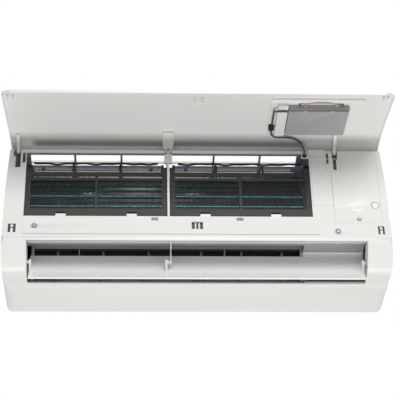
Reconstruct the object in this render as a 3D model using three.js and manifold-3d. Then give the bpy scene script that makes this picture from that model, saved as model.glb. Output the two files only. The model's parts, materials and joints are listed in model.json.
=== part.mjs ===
// Indoor unit of a mini split air conditioner, with its front panel swung up and its air flap open.
// Millimetres. +X runs along the unit to the viewer's right, the front faces -Y, +Z is up.
// The origin lies on the wall, on the back face of the steel wall plate.
// Every section is drawn in a YZ plane whose zero is the wall and the unit's underside.
import * as THREE from 'three';
import * as BufferGeometryUtils from 'three/addons/utils/BufferGeometryUtils.js';
import Module from 'manifold-3d';

const wasm = await Module();
wasm.setup();

// ---------------------------------------------------------------- driving dimensions
const WIDTH = 722;
const HEIGHT = 290;
const BODY_DEPTH = 185;
const WALL = 2.5;
const GAP = 0.3;
const SEAM = 0.5;
const FAR = 400;

// front frame
const FRAME_REAR = 2.5;
const SIDE_ROUND = 10;
const CHIN_ROUND = 20;
const CHIN_REAR_RISE = 3;
const TOP_ROUND = 8;
const SIDE_LEAN = 7.5;
const LEAN_FROM = 100;
const RAIL_SETBACK = 30;
const RAIL_DROP = 24;
const RAIL_H = 7;
const OUTLET_TOP = 60;
const LIP_HEIGHT = 7;
const LIP_STEP = 5;
const CHIN_LIP_BACK = 77;
const CHIN_LIP_Z = 9;
const PAD_HEIGHT = 1.5;
const PAD_OVERRUN = 11;

// air openings
const SIDE_MARGIN = 38;
const CONTROL_WIDTH = 144;
const FILTER_LOW = 117;
const MULLION = 4;
const HEAD_WIDTH = 15;
const HEAD_LENGTH = 23;
const INLET_BACK = 67;
const INLET_REAR = -26;
const OUTLET_SIDE = 46;
const CHEEK_T = 2.5;

// top grille
const GRILLE_T = 4;
const GRILLE_BAR = 3;
const GRILLE_ROWS = 3;
const RIB_T = 4;

// front panel and its hinge
const PIVOT_BACK = 32;
const PIVOT_DROP = 20;
const PANEL_T = 2.5;
const PANEL_LOW = 72;
const PANEL_DROP = 8;
const PANEL_SIDE_GAP = 1.5;
const PANEL_OPEN = 82;
const PANEL_FLANGE = 5.5;
const PANEL_ROUND = 26;
const ARM_T = 6;
const ARM_LEFT_IN = 22;
const ARM_RIGHT_IN = 94;
const ARM_EYE_R = 5;
const ARM_LEFT_DROP = 28;
const ARM_RIGHT_DROP = 35;
const ARM_SLOT = 10;
const CLIP_PRONG_T = 2.2;
const CLIP_PRONG_H = 6;
const PRONG_SET = 4.5;
const PRONG_T = 2.8;
const BRACKET_HALF = 11;

// display on the panel's inner face
const DISPLAY_IN = 193;
const DISPLAY_W = 112;
const DISPLAY_RISE = 48;
const DISPLAY_DROP = 44;
const DISPLAY_DEPTH = 10;
const BRACKET_T = 2.4;
const BRACKET_RIM = 18;
const CABLE_R = 1.8;
const CABLE_LEFT = 26;
const LEDGE_IN = 53;
const WIRE_R = 1.1;
const GROMMET_IN = 8;
const GROMMET_R = 4.5;
const GROMMET_DROP = 28;

// flap
const FLAP_BACK = 45;
const FLAP_Z = 36.5;
const FLAP_SHUT = 149.3;
const FLAP_OPEN_TURN = 90;
const FLAP_FRONT = 44;
const FLAP_REAR = 33;
const FLAP_OFFSET = 8;
const FLAP_T = 3;
const FLAP_BULGE = 7;
const FLAP_PIN_R = 3;
const FLAP_END_GAP = 4;
const EAR_T = 4;
const PIN_PLAY = 0.5;

// cross-flow fan, motor and bearing
const FAN_BACK = 109;
const FAN_Z = 122;
const FAN_R = 41;
const FAN_INNER_R = 31;
const FAN_BLADES = 22;
const FAN_BLADE_T = 1.1;
const FAN_RING_T = 2;
const FAN_RINGS = 4;
const FAN_END_GAP = 6;
const SHAFT_R = 4;
const BEARING_R = 12;
const BEARING_W = 12;
const MOTOR_R = 40;
const MOTOR_LENGTH = 46;

// vertical vanes
const VANES_PER_GROUP = 3;
const VANE_T = 1.6;
const VANE_BACK = 87;
const VANE_FRONT = 4.5;
const VANE_REAR = 27;
const VANE_TOP = 79.8;
const SHELF_T = 1.8;
const VANE_PIN_R = 2;
const VANE_REST = 14;
const VANE_FLOOR_GAP = 3.5;
const LINK_T = 2;
const LINK_W = 5;
const LINK_Z = 66;
const LINK_OFFSET = 10;
const LINK_PLAY = 0.4;
const VANE_FRAME_BACK = 72;
const VANE_FRAME_T = 2.5;

// heat exchanger
const COIL_T = 21;
const COIL_GAP = 8;
const COIL_LOW_Z = 97;
const COIL_BEND_DROP = 110;
const COIL_APEX_Y = -97;
const COIL_APEX_DROP = 32;
const COIL_REAR_Y = -24;
const COIL_REAR_DROP = 94;
const TUBE_R = 3.5;
const TUBE_PITCH = 21;
const TUBE_BEND = 10;
const SHEET_T = 1.2;

// filters
const FILTER_T = 1.8;
const FILTER_SET_IN = 3;
const FILTER_LIFT = 3;
const FILTER_FLAT_DROP = 68;
const FILTER_END_Y = -62;
const FILTER_END_DROP = 16;
const FILTER_RIM = 10;
const HEAD_CLEARANCE = 1;
const FILTER_FOOT = 19;
const NET_T = 0.6;
const NET_STRAND = 0.9;
const NET_COLUMNS = 8;
const NET_ROWS = 5;
const TAB_W = 19;
const TAB_H = 5;

// electrical side
const TERMINAL_W = 38;
const TERMINAL_LOW = 143.5;
const CONTROL_LOW = 104;
const CONTROL_RIGHT = 14;
const SOCKET_W = 27;
const SOCKET_DROP = 65.5;
const PULL_IN = 58;
const PULL_Z = 141;
const PULL_R = 12.5;
const PULL_TILT = 0.2;
const BUTTON_IN = 25;
const BUTTON_Z = 144;
const BUTTON_R = 7;
const BUTTON_PLAY = 0.3;
const BUTTON_LENGTH = 6;
const BOX_DEPTH = 34;
const BOX_WALL = 2;

// wall side
const PLATE_T = 1.2;
const PLATE_W = 560;
const PLATE_LOW = 40;
const PLATE_DROP = 22;
const BACK_Y = -4;
const HOOK_PLACES = [-210, 0, 210];
const HOOK_W = 28;
const HOOK_T = 3;
const HOOK_DROP = 36;
const HOOK_Y = -9;
const HOOK_RISE = 12;
const WALL_POINT_Z = 150;

// screws
const SCREW_HEAD_R = 4;
const SCREW_R = 1.8;
const SCREW_LENGTH = 14;

// ---------------------------------------------------------------- places worked out from them
const HALF = WIDTH / 2;
const OPEN_LEFT = -HALF + SIDE_MARGIN;
const OPEN_RIGHT = HALF - CONTROL_WIDTH;
const OPEN_MID = (OPEN_LEFT + OPEN_RIGHT) / 2;
const OUTLET_HALF = HALF - OUTLET_SIDE;
const AIR_LEFT = OPEN_LEFT + 4;
const AIR_RIGHT = OPEN_RIGHT - 14;
const LIP_Y = -BODY_DEPTH;
const PAN_LEFT = AIR_LEFT - 20;
const PAN_RIGHT = AIR_RIGHT + 9;
const TERMINAL_X0 = OPEN_RIGHT + 3;
const TERMINAL_X1 = TERMINAL_X0 + TERMINAL_W;
const CONTROL_X1 = HALF - CONTROL_RIGHT;
const RAIL_LOW = HEIGHT - RAIL_DROP;
const RAIL_TOP = RAIL_LOW + RAIL_H;
const RAIL_Y = LIP_Y + RAIL_SETBACK;
const CHIN_LIP_Y = LIP_Y + CHIN_LIP_BACK;
const INLET_FRONT = LIP_Y + INLET_BACK;
const FAN_Y = LIP_Y + FAN_BACK;
const PAD_RIGHT = OPEN_RIGHT + PAD_OVERRUN;
const PIVOT_Y = LIP_Y + PIVOT_BACK;
const PIVOT_Z = HEIGHT - PIVOT_DROP;
const PANEL_TOP = HEIGHT - PANEL_DROP;
const ARM_LEFT_X = -HALF + ARM_LEFT_IN;
const ARM_RIGHT_X = HALF - ARM_RIGHT_IN;
const ARM_LEFT_LOW = PIVOT_Z - ARM_LEFT_DROP;
const ARM_RIGHT_LOW = PIVOT_Z - ARM_RIGHT_DROP;
const DISPLAY_X0 = HALF - DISPLAY_IN;
const DISPLAY_X1 = DISPLAY_X0 + DISPLAY_W;
const DISPLAY_Z0 = PANEL_LOW + DISPLAY_RISE;
const DISPLAY_Z1 = PIVOT_Z - DISPLAY_DROP;
const CABLE_X = DISPLAY_X0 - CABLE_LEFT;
const LEDGE_END = HALF - LEDGE_IN;
const GROMMET_X = OPEN_RIGHT - GROMMET_IN;
const GROMMET_Z = HEIGHT - GROMMET_DROP;
const FLAP_Y = LIP_Y + FLAP_BACK;
const VANE_AXIS_Y = LIP_Y + VANE_BACK;
const VANE_FRAME_Y = LIP_Y + VANE_FRAME_BACK;
const COIL_BEND_Z = HEIGHT - COIL_BEND_DROP;
const COIL_REAR_Z = HEIGHT - COIL_REAR_DROP;
const FILTER_FLAT_TOP = HEIGHT - FILTER_FLAT_DROP;
const SOCKET_LOW = HEIGHT - SOCKET_DROP;
const PULL_X = HALF - PULL_IN;
const BUTTON_X = HALF - BUTTON_IN;
const PLATE_TOP = HEIGHT - PLATE_DROP;
const HOOK_Z = HEIGHT - HOOK_DROP;
const ROOF_FRONT_Y = LIP_Y + WALL + GAP + 8;
const ROOF_REAR_Z = 86;

// The front face leans back as it rises: its Y at a height.
function frontFace(z) {
  const share = (z - PANEL_LOW) / (RAIL_LOW - PANEL_LOW);
  return LIP_Y + LIP_STEP + (RAIL_SETBACK - LIP_STEP) * Math.pow(Math.max(share, 0), 0.8);
}

// The ends lean in towards the top: half the unit's width at a height.
function sideX(z) {
  const share = Math.max(z - LEAN_FROM, 0) / (HEIGHT - LEAN_FROM);
  return HALF - SIDE_LEAN * share * share;
}

// ---------------------------------------------------------------- modelling helpers
const toX = new THREE.Matrix4().makeBasis(
  new THREE.Vector3(0, 1, 0), new THREE.Vector3(0, 0, 1), new THREE.Vector3(1, 0, 0));
const toY = new THREE.Matrix4().makeBasis(
  new THREE.Vector3(1, 0, 0), new THREE.Vector3(0, 0, 1), new THREE.Vector3(0, -1, 0));

function solid(geometry) {
  const plain = geometry.clone();
  plain.deleteAttribute('normal');
  plain.deleteAttribute('uv');
  const merged = BufferGeometryUtils.mergeVertices(plain, 1e-4);
  return new wasm.Manifold(new wasm.Mesh({
    numProp: 3,
    vertProperties: new Float32Array(merged.attributes.position.array),
    triVerts: new Uint32Array(merged.index.array),
  }));
}

function geometryOf(manifold) {
  const mesh = manifold.getMesh();
  const geometry = new THREE.BufferGeometry();
  geometry.setAttribute('position', new THREE.BufferAttribute(mesh.vertProperties, 3));
  geometry.setIndex(new THREE.BufferAttribute(mesh.triVerts, 1));
  const facets = geometry.toNonIndexed();
  facets.computeVertexNormals();
  return facets;
}

function join(solids) {
  return solids.reduce((whole, piece) => whole.add(piece));
}

function extrude(points, length) {
  const shape = new THREE.Shape(points.map(([a, b]) => new THREE.Vector2(a, b)));
  return new THREE.ExtrudeGeometry(shape, { depth: length, bevelEnabled: false, steps: 1 });
}

// A section drawn in Y and Z, run along X.
function prismX(points, x0, x1) {
  return solid(extrude(points, x1 - x0).applyMatrix4(toX).translate(x0, 0, 0));
}

// An outline drawn in X and Z, run along Y.
function prismY(points, y0, y1) {
  return solid(extrude(points, y1 - y0).applyMatrix4(toY).translate(0, y1, 0));
}

// An outline drawn in X and Y, run along Z.
function prismZ(points, z0, z1) {
  return solid(extrude(points, z1 - z0).translate(0, 0, z0));
}

function box(x0, x1, y0, y1, z0, z1) {
  const geometry = new THREE.BoxGeometry(x1 - x0, y1 - y0, z1 - z0);
  return solid(geometry.translate((x0 + x1) / 2, (y0 + y1) / 2, (z0 + z1) / 2));
}

function rodX(r, x0, x1, y, z, sides = 24) {
  const geometry = new THREE.CylinderGeometry(r, r, x1 - x0, sides).rotateZ(-Math.PI / 2);
  return solid(geometry.translate((x0 + x1) / 2, y, z));
}

function rodY(r0, r1, x, y0, y1, z, sides = 20) {
  const geometry = new THREE.CylinderGeometry(r1, r0, y1 - y0, sides);
  return solid(geometry.translate(x, (y0 + y1) / 2, z));
}

function rodZ(r, x, y, z0, z1, sides = 16) {
  const geometry = new THREE.CylinderGeometry(r, r, z1 - z0, sides).rotateX(Math.PI / 2);
  return solid(geometry.translate(x, y, (z0 + z1) / 2));
}

// A rectangle with its own corner radius at the bottom and at the top.
function roundedRect(x0, x1, y0, y1, lowR, topR, steps = 5) {
  const corners = [[x1 - lowR, y0 + lowR, lowR, -90], [x1 - topR, y1 - topR, topR, 0],
    [x0 + topR, y1 - topR, topR, 90], [x0 + lowR, y0 + lowR, lowR, 180]];
  return corners.flatMap(([cx, cy, r, start]) => Array.from({ length: steps + 1 }, (_, i) => {
    const angle = THREE.MathUtils.degToRad(start + 90 * i / steps);
    return [cx + r * Math.cos(angle), cy + r * Math.sin(angle)];
  }));
}

// The path moved sideways by a distance, to its right where the distance is positive.
function offset(path, distance) {
  return path.map((point, i) => {
    const before = path[Math.max(i - 1, 0)];
    const after = path[Math.min(i + 1, path.length - 1)];
    const inward = new THREE.Vector2(point[0] - before[0], point[1] - before[1]).normalize();
    const onward = new THREE.Vector2(after[0] - point[0], after[1] - point[1]).normalize();
    const along = inward.clone().add(onward).normalize();
    const reach = distance / Math.max(along.dot(onward.lengthSq() > 0 ? onward : inward), 0.5);
    return [point[0] + along.y * reach, point[1] - along.x * reach];
  });
}

// The closed outline of a wall that follows a path, its thickness to the path's right.
function wallAlong(path, thickness) {
  return [...path, ...offset(path, thickness).reverse()];
}

function smooth(points, count) {
  const curve = new THREE.SplineCurve(points.map(([a, b]) => new THREE.Vector2(a, b)));
  return curve.getSpacedPoints(count).map((p) => [p.x, p.y]);
}

// ---------------------------------------------------------------- materials
function plastic(color, roughness = 0.5) {
  return new THREE.MeshStandardMaterial({ color, roughness, metalness: 0 });
}

function metal(color, roughness = 0.4) {
  return new THREE.MeshStandardMaterial({ color, roughness, metalness: 1 });
}

const WHITE = () => plastic(0xe9e9ec, 0.38);
const SOFT_WHITE = () => plastic(0xdfe0e3, 0.45);
const DUCT_GREY = () => plastic(0x8b8a8f, 0.55);
const DARK_PLASTIC = () => plastic(0x3c3b3a, 0.6);
const STEEL = () => metal(0xb4b6b8, 0.42);

const unit = new THREE.Group();
unit.position.z = -WALL_POINT_Z;

function place(name, manifold, material, parent = unit) {
  const mesh = new THREE.Mesh(geometryOf(manifold), material);
  mesh.name = name;
  parent.add(mesh);
  return mesh;
}

// ---------------------------------------------------------------- front frame
// The frame's outer section, from the back of the chin round the front to the back of the top.
function frameSection(withLip) {
  const chin = [[-FRAME_REAR, CHIN_REAR_RISE], [-18, 0], [CHIN_LIP_Y + 38, 0],
    [CHIN_LIP_Y + 14, 3.5], [CHIN_LIP_Y, CHIN_LIP_Z]];
  const cheek = smooth([[CHIN_LIP_Y, CHIN_LIP_Z], [CHIN_LIP_Y - 22, 8], [CHIN_LIP_Y - 44, 15], [LIP_Y + 13, 36],
    [LIP_Y + 1, OUTLET_TOP]], 8).slice(1);
  const lip = withLip ? [[LIP_Y, OUTLET_TOP + LIP_HEIGHT - 1], [LIP_Y + 1, OUTLET_TOP + LIP_HEIGHT],
    [frontFace(PANEL_LOW), OUTLET_TOP + LIP_HEIGHT + 2]] : [];
  const face = [0.15, 0.35, 0.6, 0.8, 1].map((share) => {
    const z = THREE.MathUtils.lerp(PANEL_LOW, RAIL_LOW, share);
    return [frontFace(z), z];
  });
  const top = [[RAIL_Y, RAIL_TOP], [RAIL_Y + 5, RAIL_TOP + 3],
    [INLET_FRONT - 8, HEIGHT - 3.5], [INLET_FRONT - 3, HEIGHT], [-FRAME_REAR, HEIGHT]];
  return [...chin, ...cheek, ...lip, ...face, ...top];
}

// The section's solid, drawn in from the outside by a distance and rounded at ends and corners.
function frameBody(inset) {
  const section = inset > 0 ? offset(frameSection(false), inset) : frameSection(true);
  const last = section.length - 1;
  const backY = inset > 0 ? 5 : -FRAME_REAR;
  const closed = [[backY, section[0][1]], ...section.slice(1, last), [backY, section[last][1]]];
  const half = HALF - inset;
  const front = prismY(roundedRect(-half, half, inset, HALF, CHIN_ROUND - inset, 1), -HALF, 20)
    .intersect(prismY(leaningOutline(inset, -HALF, HEIGHT - inset), -HALF, 20));
  const plan = prismZ(roundedRect(-half, half, LIP_Y - PAD_HEIGHT + inset, 40, SIDE_ROUND - inset, 1),
    -50, HEIGHT + 50);
  return prismX(closed, -half, half).intersect(front).intersect(plan);
}

// The outline seen from the front, its ends leaning in towards rounded top corners.
function leaningOutline(inset, low, high) {
  const r = TOP_ROUND - inset;
  const levels = [low, LEAN_FROM, ...[0.3, 0.55, 0.75, 0.9].map((share) =>
    THREE.MathUtils.lerp(LEAN_FROM, HEIGHT, share)).filter((z) => z < high - r - 1)];
  const right = levels.map((z) => [sideX(z) - inset, z]);
  const corner = Array.from({ length: 5 }, (_, i) => {
    const angle = Math.PI / 2 * i / 4;
    return [sideX(high - r) - inset - r + r * Math.cos(angle), high - r + r * Math.sin(angle)];
  });
  const half = [...right, ...corner];
  return [...half, ...half.map(([x, z]) => [-x, z]).reverse()];
}

// The raised pad on the bar below the filters.
function barPad() {
  const levels = [FILTER_LOW - 2, 95, PANEL_LOW + 3];
  const outer = levels.map((z) => [frontFace(z) - PAD_HEIGHT, z]);
  const inner = levels.map((z) => [frontFace(z) + 1, z]).reverse();
  return prismX([...outer, ...inner], OPEN_LEFT, PAD_RIGHT);
}

function latchSockets() {
  const y0 = LIP_Y;
  const y1 = LIP_Y + 30;
  const sockets = [[-HALF + 18, 14.5, 88.5, 20], [0, 21, 95, 17], [HALF - 18.5, 12, 86, 19]];
  return sockets.map(([x, w, z, h], i) => {
    const post = i === 1 ? [-3.4, 3.4] : [0];
    const postW = i === 1 ? 2.6 : 4.6;
    const hole = box(x - w / 2, x + w / 2, y0, y1, z - h / 2, z + h / 2);
    const posts = post.map((at) => box(x + at - postW / 2, x + at + postW / 2, y0, y1, z - h, z + h / 2 - 3));
    return posts.reduce((rest, p) => rest.subtract(p), hole);
  });
}

function armSlots() {
  const y0 = LIP_Y;
  const y1 = PIVOT_Y + 14;
  const left = ARM_LEFT_X;
  const right = ARM_RIGHT_X;
  return [
    box(left - ARM_SLOT / 2, left + ARM_SLOT / 2, y0, y1, PIVOT_Z - 39, PIVOT_Z + 8),
    box(left - ARM_SLOT / 2 - 4, left + ARM_SLOT / 2, y0, y1, PIVOT_Z - 13, PIVOT_Z + 8),
    box(left + ARM_SLOT / 2 + 3.5, left + ARM_SLOT / 2 + 9, y0, y1, PIVOT_Z - 28, RAIL_LOW),
    box(right - ARM_SLOT / 2, right + ARM_SLOT / 2, y0, y1, PIVOT_Z - 18, PIVOT_Z + 8),
    box(right - 4, right + 2.5, y0, y1, PIVOT_Z - 42, PIVOT_Z - 17),
    box(right - 16, right - 12, y0, y1, PIVOT_Z - 27, PIVOT_Z - 2),
    ...[-PRONG_SET, PRONG_SET].map((at) => box(OPEN_MID + at - PRONG_T, OPEN_MID + at + PRONG_T,
      PIVOT_Y - 8, PIVOT_Y + 6, PIVOT_Z - 6.5, PIVOT_Z + 10)),
  ];
}

const SCREW_PLACES = {
  screw_left: [-HALF + 59, 93],
  screw_right: [HALF - 99.5, 83],
  screw_cover: [HALF - 57.5, CONTROL_LOW + 8],
};

// The covers' opening: the terminal cover's field and the control cover's field, less the hinge socket.
function coverField(inset) {
  const terminal = box(TERMINAL_X0 + inset, TERMINAL_X1 - inset, -FAR, 0,
    TERMINAL_LOW + inset, RAIL_LOW - 4 - inset);
  const control = box(TERMINAL_X1 + (inset > 0 ? inset : -0.1), CONTROL_X1 - inset, -FAR, 0,
    CONTROL_LOW + inset, RAIL_LOW - 4 - inset);
  const socket = box(ARM_RIGHT_X - 17 - inset, ARM_RIGHT_X - 17 + SOCKET_W + inset, -FAR, 0,
    SOCKET_LOW - inset, HEIGHT);
  return { terminal: terminal.subtract(socket), control: control.subtract(socket) };
}

function frontFrame() {
  const outer = frameBody(0).add(barPad());
  const shell = join([outer.subtract(frameBody(WALL)), mullionHead()]);
  const mullionLeft = OPEN_MID - MULLION / 2;
  const mullionRight = OPEN_MID + MULLION / 2;
  const field = coverField(0);
  const cuts = [
    opening(OPEN_LEFT, mullionLeft),
    opening(mullionRight, OPEN_RIGHT),
    box(OPEN_LEFT, AIR_RIGHT, INLET_FRONT, INLET_REAR, HEIGHT - 10, HEIGHT + 10),
    box(-OUTLET_HALF, OUTLET_HALF, LIP_Y - 10, CHIN_LIP_Y, -10, OUTLET_TOP),
    field.terminal,
    field.control,
    ...latchSockets(),
    ...armSlots(),
  ];
  for (const x of [-HALF - 38, HALF + 38]) {
    cuts.push(solid(new THREE.SphereGeometry(40, 24, 16).translate(x, LIP_Y + 16, FILTER_LOW)));
  }
  for (const name of ['screw_left', 'screw_right']) {
    const [x, z] = SCREW_PLACES[name];
    cuts.push(rodY(SCREW_R + 0.3, SCREW_R + 0.3, x, LIP_Y, LIP_Y + 40, z, 12));
    cuts.push(rodY(9, 5, x, frontFace(z) - PAD_HEIGHT - 1, frontFace(z) + 0.6, z, 20));
  }
  for (const x of [-79, 80]) {
    cuts.push(box(x - 6.5, x + 6.5, LIP_Y, frontFace(110) + 0.6, 106, 113));
  }
  let frame = cuts.reduce((rest, cut) => rest.subtract(cut), shell);
  frame = frame.add(outletCheek(-OUTLET_HALF - CHEEK_T, -OUTLET_HALF));
  frame = frame.add(outletCheek(OUTLET_HALF, OUTLET_HALF + CHEEK_T));
  frame = frame.add(grommetTab());
  for (const x of filterTabs()) {
    frame = frame.add(box(x - TAB_W / 2, x + TAB_W / 2, frontFace(FILTER_LOW), frontFace(FILTER_LOW) + 2,
      FILTER_LOW - 1, FILTER_LOW + TAB_H));
  }
  return frame;
}

// One filter's opening, less the corner that the mullion's head fills.
function opening(x0, x1) {
  const head = HEAD_WIDTH / 2;
  return box(x0, x1, LIP_Y - 10, INLET_FRONT - 20, FILTER_LOW, RAIL_LOW)
    .subtract(box(OPEN_MID - head, OPEN_MID + head, LIP_Y - 20, 0, RAIL_LOW - HEAD_LENGTH, HEIGHT));
}

// The end wall of the air outlet, with the bearing hole of the flap.
function outletCheek(x0, x1) {
  const outline = [[LIP_Y + 2, OUTLET_TOP + 2], ...smooth([[LIP_Y + 2, OUTLET_TOP], [LIP_Y + 14, 37],
    [CHIN_LIP_Y - 43, 17], [CHIN_LIP_Y - 22, 10], [CHIN_LIP_Y, CHIN_LIP_Z + 1]], 6), [CHIN_LIP_Y, 34],
    [CHIN_LIP_Y - 42, OUTLET_TOP + 8]];
  return prismX(outline.reverse(), x0, x1).subtract(rodX(FLAP_PIN_R + PIN_PLAY, x0 - 1, x1 + 1, FLAP_Y, FLAP_Z));
}

// The bar between the two filters widens at its top, where the panel's middle hinge hooks in.
function mullionHead() {
  const y = frontFace(RAIL_LOW);
  return box(OPEN_MID - HEAD_WIDTH / 2, OPEN_MID + HEAD_WIDTH / 2, y, y + 3,
    RAIL_LOW - HEAD_LENGTH, RAIL_LOW + 1);
}

// A tab under the rail, beside the right filter's top, with the hole for the display's lead.
function grommetTab() {
  const y = RAIL_Y;
  return box(AIR_RIGHT, OPEN_RIGHT + 2, y, y + WALL, GROMMET_Z - 6, RAIL_LOW + 2)
    .subtract(rodY(GROMMET_R - 1, GROMMET_R - 1, GROMMET_X, y - 5, y + 8, GROMMET_Z, 20));
}

function filterTabs() {
  const half = (OPEN_RIGHT - OPEN_LEFT) / 2;
  return [0.255, 0.745].flatMap((share) => [OPEN_LEFT + half * share, OPEN_MID + half * share]);
}

function coverShell() {
  return frameBody(0).subtract(frameBody(WALL));
}

function controlCover(shell) {
  const [sx, sz] = SCREW_PLACES.screw_cover;
  const pull = new THREE.CylinderGeometry(PULL_R, PULL_R, 12, 36).rotateX(PULL_TILT);
  const pullSeat = frontFace(PULL_Z) - 6 + 0.3;
  return shell.intersect(coverField(SEAM / 2).control)
    .subtract(solid(pull.translate(PULL_X, pullSeat, PULL_Z)))
    .subtract(rodY(BUTTON_R + BUTTON_PLAY, BUTTON_R + BUTTON_PLAY, BUTTON_X, -FAR, 0, BUTTON_Z, 28))
    .subtract(rodY(SCREW_R + 0.3, SCREW_R + 0.3, sx, -FAR, 0, sz, 12));
}

// ---------------------------------------------------------------- top grille
function topGrille() {
  const x0 = OPEN_LEFT + GAP;
  const x1 = AIR_RIGHT - GAP;
  const y0 = INLET_FRONT + GAP;
  const y1 = INLET_REAR - GAP;
  const z0 = HEIGHT - GRILLE_T;
  const pitch = (y1 - y0 - GRILLE_BAR) / GRILLE_ROWS;
  const span = (OPEN_RIGHT - OPEN_LEFT) / 6;
  const plate = box(x0, x1, y0, y1, z0, HEIGHT);
  const windows = [];
  for (let column = 0; column < 6; column++) {
    const left = column === 0 ? x0 + RIB_T : OPEN_LEFT + column * span + RIB_T / 2;
    const right = column === 5 ? x1 - RIB_T : OPEN_LEFT + (column + 1) * span - RIB_T / 2;
    for (let row = 0; row < GRILLE_ROWS; row++) {
      const front = y0 + row * pitch + GRILLE_BAR;
      windows.push(box(left, right, front, y0 + (row + 1) * pitch, z0 - 1, HEIGHT + 1));
    }
  }
  return windows.reduce((rest, cut) => rest.subtract(cut), plate);
}

// ---------------------------------------------------------------- rear casing
// The scroll behind the fan, from the lip of the outlet up to the gutter under the rear coil.
function scrollPath() {
  return smooth([[CHIN_LIP_Y + 3, CHIN_LIP_Z + 4], [FAN_Y - 10, 24], [FAN_Y + 14, 42], [FAN_Y + 32, 64],
    [FAN_Y + 43, 90], [FAN_Y + FAN_R + 5.5, FAN_Z - 4], [FAN_Y + FAN_R + 6, FAN_Z + 28], [-25, COIL_REAR_Z - 22],
    [-12, COIL_REAR_Z - 10], [-9, COIL_REAR_Z + 4]], 16);
}

// The casing's end wall closes the fan's space; the coils' end sheets rest on its outer edge.
function endWall(x0, x1, holeR) {
  const seat = offset(coilLine(), COIL_T + GAP);
  const footZ = 104;
  const outline = [[BACK_Y - 1, 8], [CHIN_LIP_Y + 36, 8], [CHIN_LIP_Y + 13, 15], [CHIN_LIP_Y + 9, 21],
    [CHIN_LIP_Y + 9, footZ], [seat[0][0] + 0.5, footZ], seat[1], seat[2], seat[3], [BACK_Y - 1, seat[3][1]]];
  return prismX(outline.reverse(), x0, x1).subtract(rodX(holeR, x0 - 1, x1 + 1, FAN_Y, FAN_Z));
}

function rearCasing() {
  const inset = WALL + GAP;
  const half = HALF - inset;
  const low = inset + CHIN_REAR_RISE;
  const back = prismY(roundedRect(-half, half, low, HALF, CHIN_ROUND - inset, 1), BACK_Y - WALL, BACK_Y)
    .intersect(prismY(leaningOutline(inset, 0, HEIGHT - inset), BACK_Y - WALL - 1, BACK_Y + 1));
  const scroll = prismX(wallAlong(scrollPath(), WALL), AIR_LEFT - 3, AIR_RIGHT + 3);
  const left = endWall(AIR_LEFT - 3, AIR_LEFT, BEARING_R + GAP);
  const right = endWall(AIR_RIGHT, AIR_RIGHT + 3, SHAFT_R + 2);
  const floor = prismX([[CHIN_LIP_Y + 3, CHIN_LIP_Z + 4], [CHIN_LIP_Y + 3, CHIN_LIP_Z + 6.5],
    [CHIN_LIP_Y + 36, 18], [CHIN_LIP_Y + 36, 15.5]],
    AIR_RIGHT + 2, OUTLET_HALF - 1);
  const cuts = [box(HALF - 60, HALF - 30, BACK_Y - 20, BACK_Y + 5, 30, 62), ...HOOK_PLACES.map((x) =>
    box(x - HOOK_W / 2 - SEAM, x + HOOK_W / 2 + SEAM, BACK_Y - 9, BACK_Y + 5, HOOK_Z - GAP, HOOK_Z + HOOK_T + GAP))];
  return cuts.reduce((rest, cut) => rest.subtract(cut), join([back, scroll, left, right, floor]));
}

// ---------------------------------------------------------------- drain pan and outlet roof
// The underside of the outlet's roof: its height at a depth.
function roofLow(y) {
  const share = (y - ROOF_FRONT_Y) / (VANE_FRAME_Y - ROOF_FRONT_Y);
  return THREE.MathUtils.lerp(OUTLET_TOP + 2, ROOF_REAR_Z, share);
}

function drainPan() {
  const front = ROOF_FRONT_Y - 8;
  const wallY = (z) => frontFace(z) + 7;
  const roof = [[ROOF_FRONT_Y, OUTLET_TOP + 2], [VANE_FRAME_Y, ROOF_REAR_Z], [VANE_FRAME_Y, ROOF_REAR_Z + 4],
    [front + 7.5, OUTLET_TOP + 6]];
  const gutter = [[wallY(84), 84 - WALL], [VANE_FRAME_Y, 86], [VANE_FRAME_Y, 98], [VANE_FRAME_Y - 4, 99],
    [VANE_FRAME_Y - 8, 94], [VANE_FRAME_Y - 17, 91], [wallY(88) + 4, 88], [wallY(108) + WALL, 108],
    [wallY(108), 108], [wallY(88), 88]];
  const capBack = VANE_FRAME_Y - 5;
  const caps = [PAN_LEFT, PAN_RIGHT - WALL].map((x) =>
    prismX([[wallY(96), 88], [capBack, 88], [capBack, 104], [wallY(104), 104]], x, x + WALL));
  const duct = wallAlong(smooth([[ROOF_FRONT_Y, OUTLET_TOP + 2], [FLAP_Y, 75], [VANE_FRAME_Y, 72],
    [VANE_FRAME_Y + 6.5, 60], [VANE_FRAME_Y + 10, 46], [VANE_FRAME_Y + 10.2, CHIN_LIP_Z + 12]], 9), -WALL);
  const [leftX, leftZ] = SCREW_PLACES.screw_left;
  const [rightX, rightZ] = SCREW_PLACES.screw_right;
  const bosses = [rodY(5, 5, leftX, wallY(leftZ) - 2, wallY(leftZ) + 5.4, leftZ, 16),
    box(rightX - 7, rightX + 7, wallY(rightZ) - 2, wallY(rightZ) + 9, 66, rightZ + 6)];
  const [outer, , , inner] = slabs()[0].outline;
  const under = (share) => [THREE.MathUtils.lerp(outer[0], inner[0], share),
    THREE.MathUtils.lerp(outer[1], inner[1], share) - GAP];
  const rests = [-0.8, -0.2, 0.55].map((share) => prismX([[under(0.2)[0], 86], [under(0.8)[0], 86], under(0.8),
    under(0.2)], share * OUTLET_HALF - 5, share * OUTLET_HALF + 5));
  const pan = join([
    prismX(roof, -OUTLET_HALF + GAP, PAN_RIGHT), prismX(gutter, PAN_LEFT, PAN_RIGHT), ...caps, ...rests,
    prismX(duct, AIR_RIGHT - 2, OUTLET_HALF - GAP), ...bosses,
  ]);
  return Object.values(SCREW_PLACES).reduce((rest, [x, z]) =>
    rest.subtract(rodY(SCREW_R + GAP, SCREW_R + GAP, x, -FAR, frontFace(z) + SCREW_LENGTH + 1.5, z, 12)), pan);
}

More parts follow.
